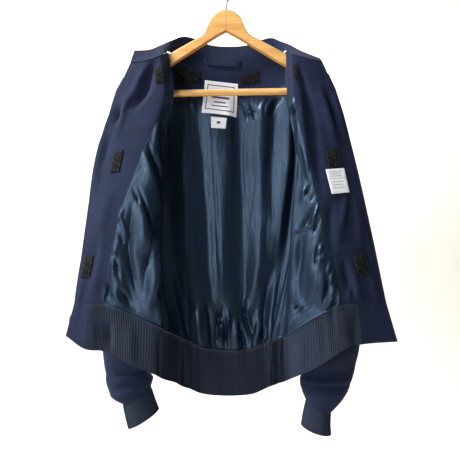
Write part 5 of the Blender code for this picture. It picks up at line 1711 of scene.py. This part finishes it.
tab = FRONT_STEPS[0]
band_end = hem.points.shape[0] - 1 - tab
tab_left, tab_right = block(hem, (0, tab)), block(hem, (band_end, band_end + tab))
wall("cloth_tab_left", tab_left, all_cells(tab_left), BAND, TWILL, ("hem_tab_left",))
wall("cloth_tab_right", tab_right, all_cells(tab_right), BAND, TWILL, ("hem_tab_right",))
band = ribbed(block(hem, (tab, band_end)), RIB_SUB, RIB_DEPTH)
wall("cloth_hem_rib", band, all_cells(band), BAND, RIB, ("hem_rib",))

sleeve_piece("cloth_sleeve_left", "left", LEFT_SLEEVE, LEFT_SLEEVE_CREASES, TWILL)
sleeve_piece("cloth_sleeve_right", "right", RIGHT_SLEEVE, RIGHT_SLEEVE_CREASES, TWILL)
cuff_piece("cloth_cuff_left", LEFT_SLEEVE[-1], LEFT_CUFF, RIB)
cuff_piece("cloth_cuff_right", RIGHT_SLEEVE[-1], RIGHT_CUFF, RIB)

faces = {
    "left": Face(left, (0, LINE_FOLD)),
    "right": Face(right, (0, LINE_FOLD)),
    "back": Face(back, (FINE_BACK, back.points.shape[0] - 1 - FINE_BACK)),
}
for name, (where, *corners) in PATCHES.items():
    sizes = (PATCH_THICK, LAID_GAP, HOOK_LOOP, PATCH_STEP, PATCH_BULGE)
    laid_on(f"pile_{name}", faces[where], corners, *sizes, (name,))
for name, (where, *corners) in LABELS.items():
    made_of = TWILL if name == "pocket_welt" else PAPER
    sizes = (LABEL_THICK, LABEL_OFF, made_of, LABEL_STEP, 0.0)
    laid_on(f"sewn_{name}", faces[where], corners, *sizes, (name,))
    ink = LABEL_GREY if name == "care_label" else LABEL_INK
    for n, share in enumerate(LABEL_BARS.get(name, ())):
        off = LABEL_OFF + LABEL_THICK + BAR_OFF
        laid_on(f"{name}_bar_{n}", faces[where], part_of(corners, share), BAR_THICK, off, ink, BAR_STEP)

# Sewing
for side, panel in (("left", left), ("right", right)):
    sew_front(side, panel, THREAD)
neck_ends = [(i, NECK_FACING_ROW - 1) for i in (BACK_STEPS[0], back.points.shape[0] - 1 - BACK_STEPS[-1])]
stitches("stitches_neck_facing", [along_grid(back, neck_ends, INNER[0] - STITCH_OFF)], THREAD)
rib_paths = [((tab, row), (band_end, row)) for row in RIB_SEAMS]
rib_routes = [along_grid(hem, path, BAND[0] - RIB_STITCH_OFF, RIB_POINTS) for path in rib_paths]
stitches("stitches_rib", rib_routes, SEAM_THREAD)
for side, span in (("left", (0, tab)), ("right", (band_end, band_end + tab))):
    sew_tab(side, hem, span, THREAD)
collar_ends = [(i, COLLAR_SEAM) for i in (1, collar.points.shape[0] - 2)]
collar_route = along_grid(collar, collar_ends, -COLLAR_HALF_THICK - COLLAR_STITCH_OFF, COLLAR_POINTS)
stitches("stitches_collar", [collar_route], THREAD)
for name, (where, *corners) in PATCHES.items():
    out = INNER[0] - LAID_GAP - PATCH_THICK - PATCH_BULGE - LAID_STITCH_OFF
    sew_round(name, faces[where], corners, out, THREAD)
for name, (where, *corners) in LABELS.items():
    out = INNER[0] - LABEL_OFF - LABEL_THICK - LAID_STITCH_OFF
    sew_round(name, faces[where], corners, out, SEAM_THREAD if name == "pocket_welt" else LABEL_THREAD)

# Piping in the seam between lining and rib, and the zip's teeth
last = hem.points.shape[0] - 1
piping_ends = [(i, PIPING_ROW) for i in (LINE_INNER, last - LINE_INNER)]
piping_out = INNER[0] - PIPING_RADIUS - PIPING_OFF
route, normals = along_grid(hem, piping_ends, piping_out, PIPING_POINTS)
piping("seam_piping", route, normals, PIPING_RADIUS, TAFFETA)
for side, panel, start, inward in (("left", left, 0, ZIP_INWARD), ("right", right, last, last - ZIP_INWARD)):
    edge = [*panel.points[0, ZIP_ROW:], *hem.points[start, 1:-1]]
    inner = [*panel.points[ZIP_INWARD, ZIP_ROW:], *hem.points[inward, 1:-1]]
    out = [*panel.normals[0, ZIP_ROW:], *hem.normals[start, 1:-1]]
    zip_teeth(f"zip_teeth_{side}", edge, inner, out, TEETH, SLIDER_TOP_Z if side == "left" else None)

FINISHES = (
    (WOOD, ("hanger_wood", "hanger_bar")),
    (STEEL, ("hanger_hook",)),
    (TWILL, ("hanging_loop", "zip_tape_left", "zip_tape_right")),
    (ZINC, ("zip_slider", "zip_pull")),
)
for made_of, nodes in FINISHES:
    for node in nodes:
        dress(node, made_of)
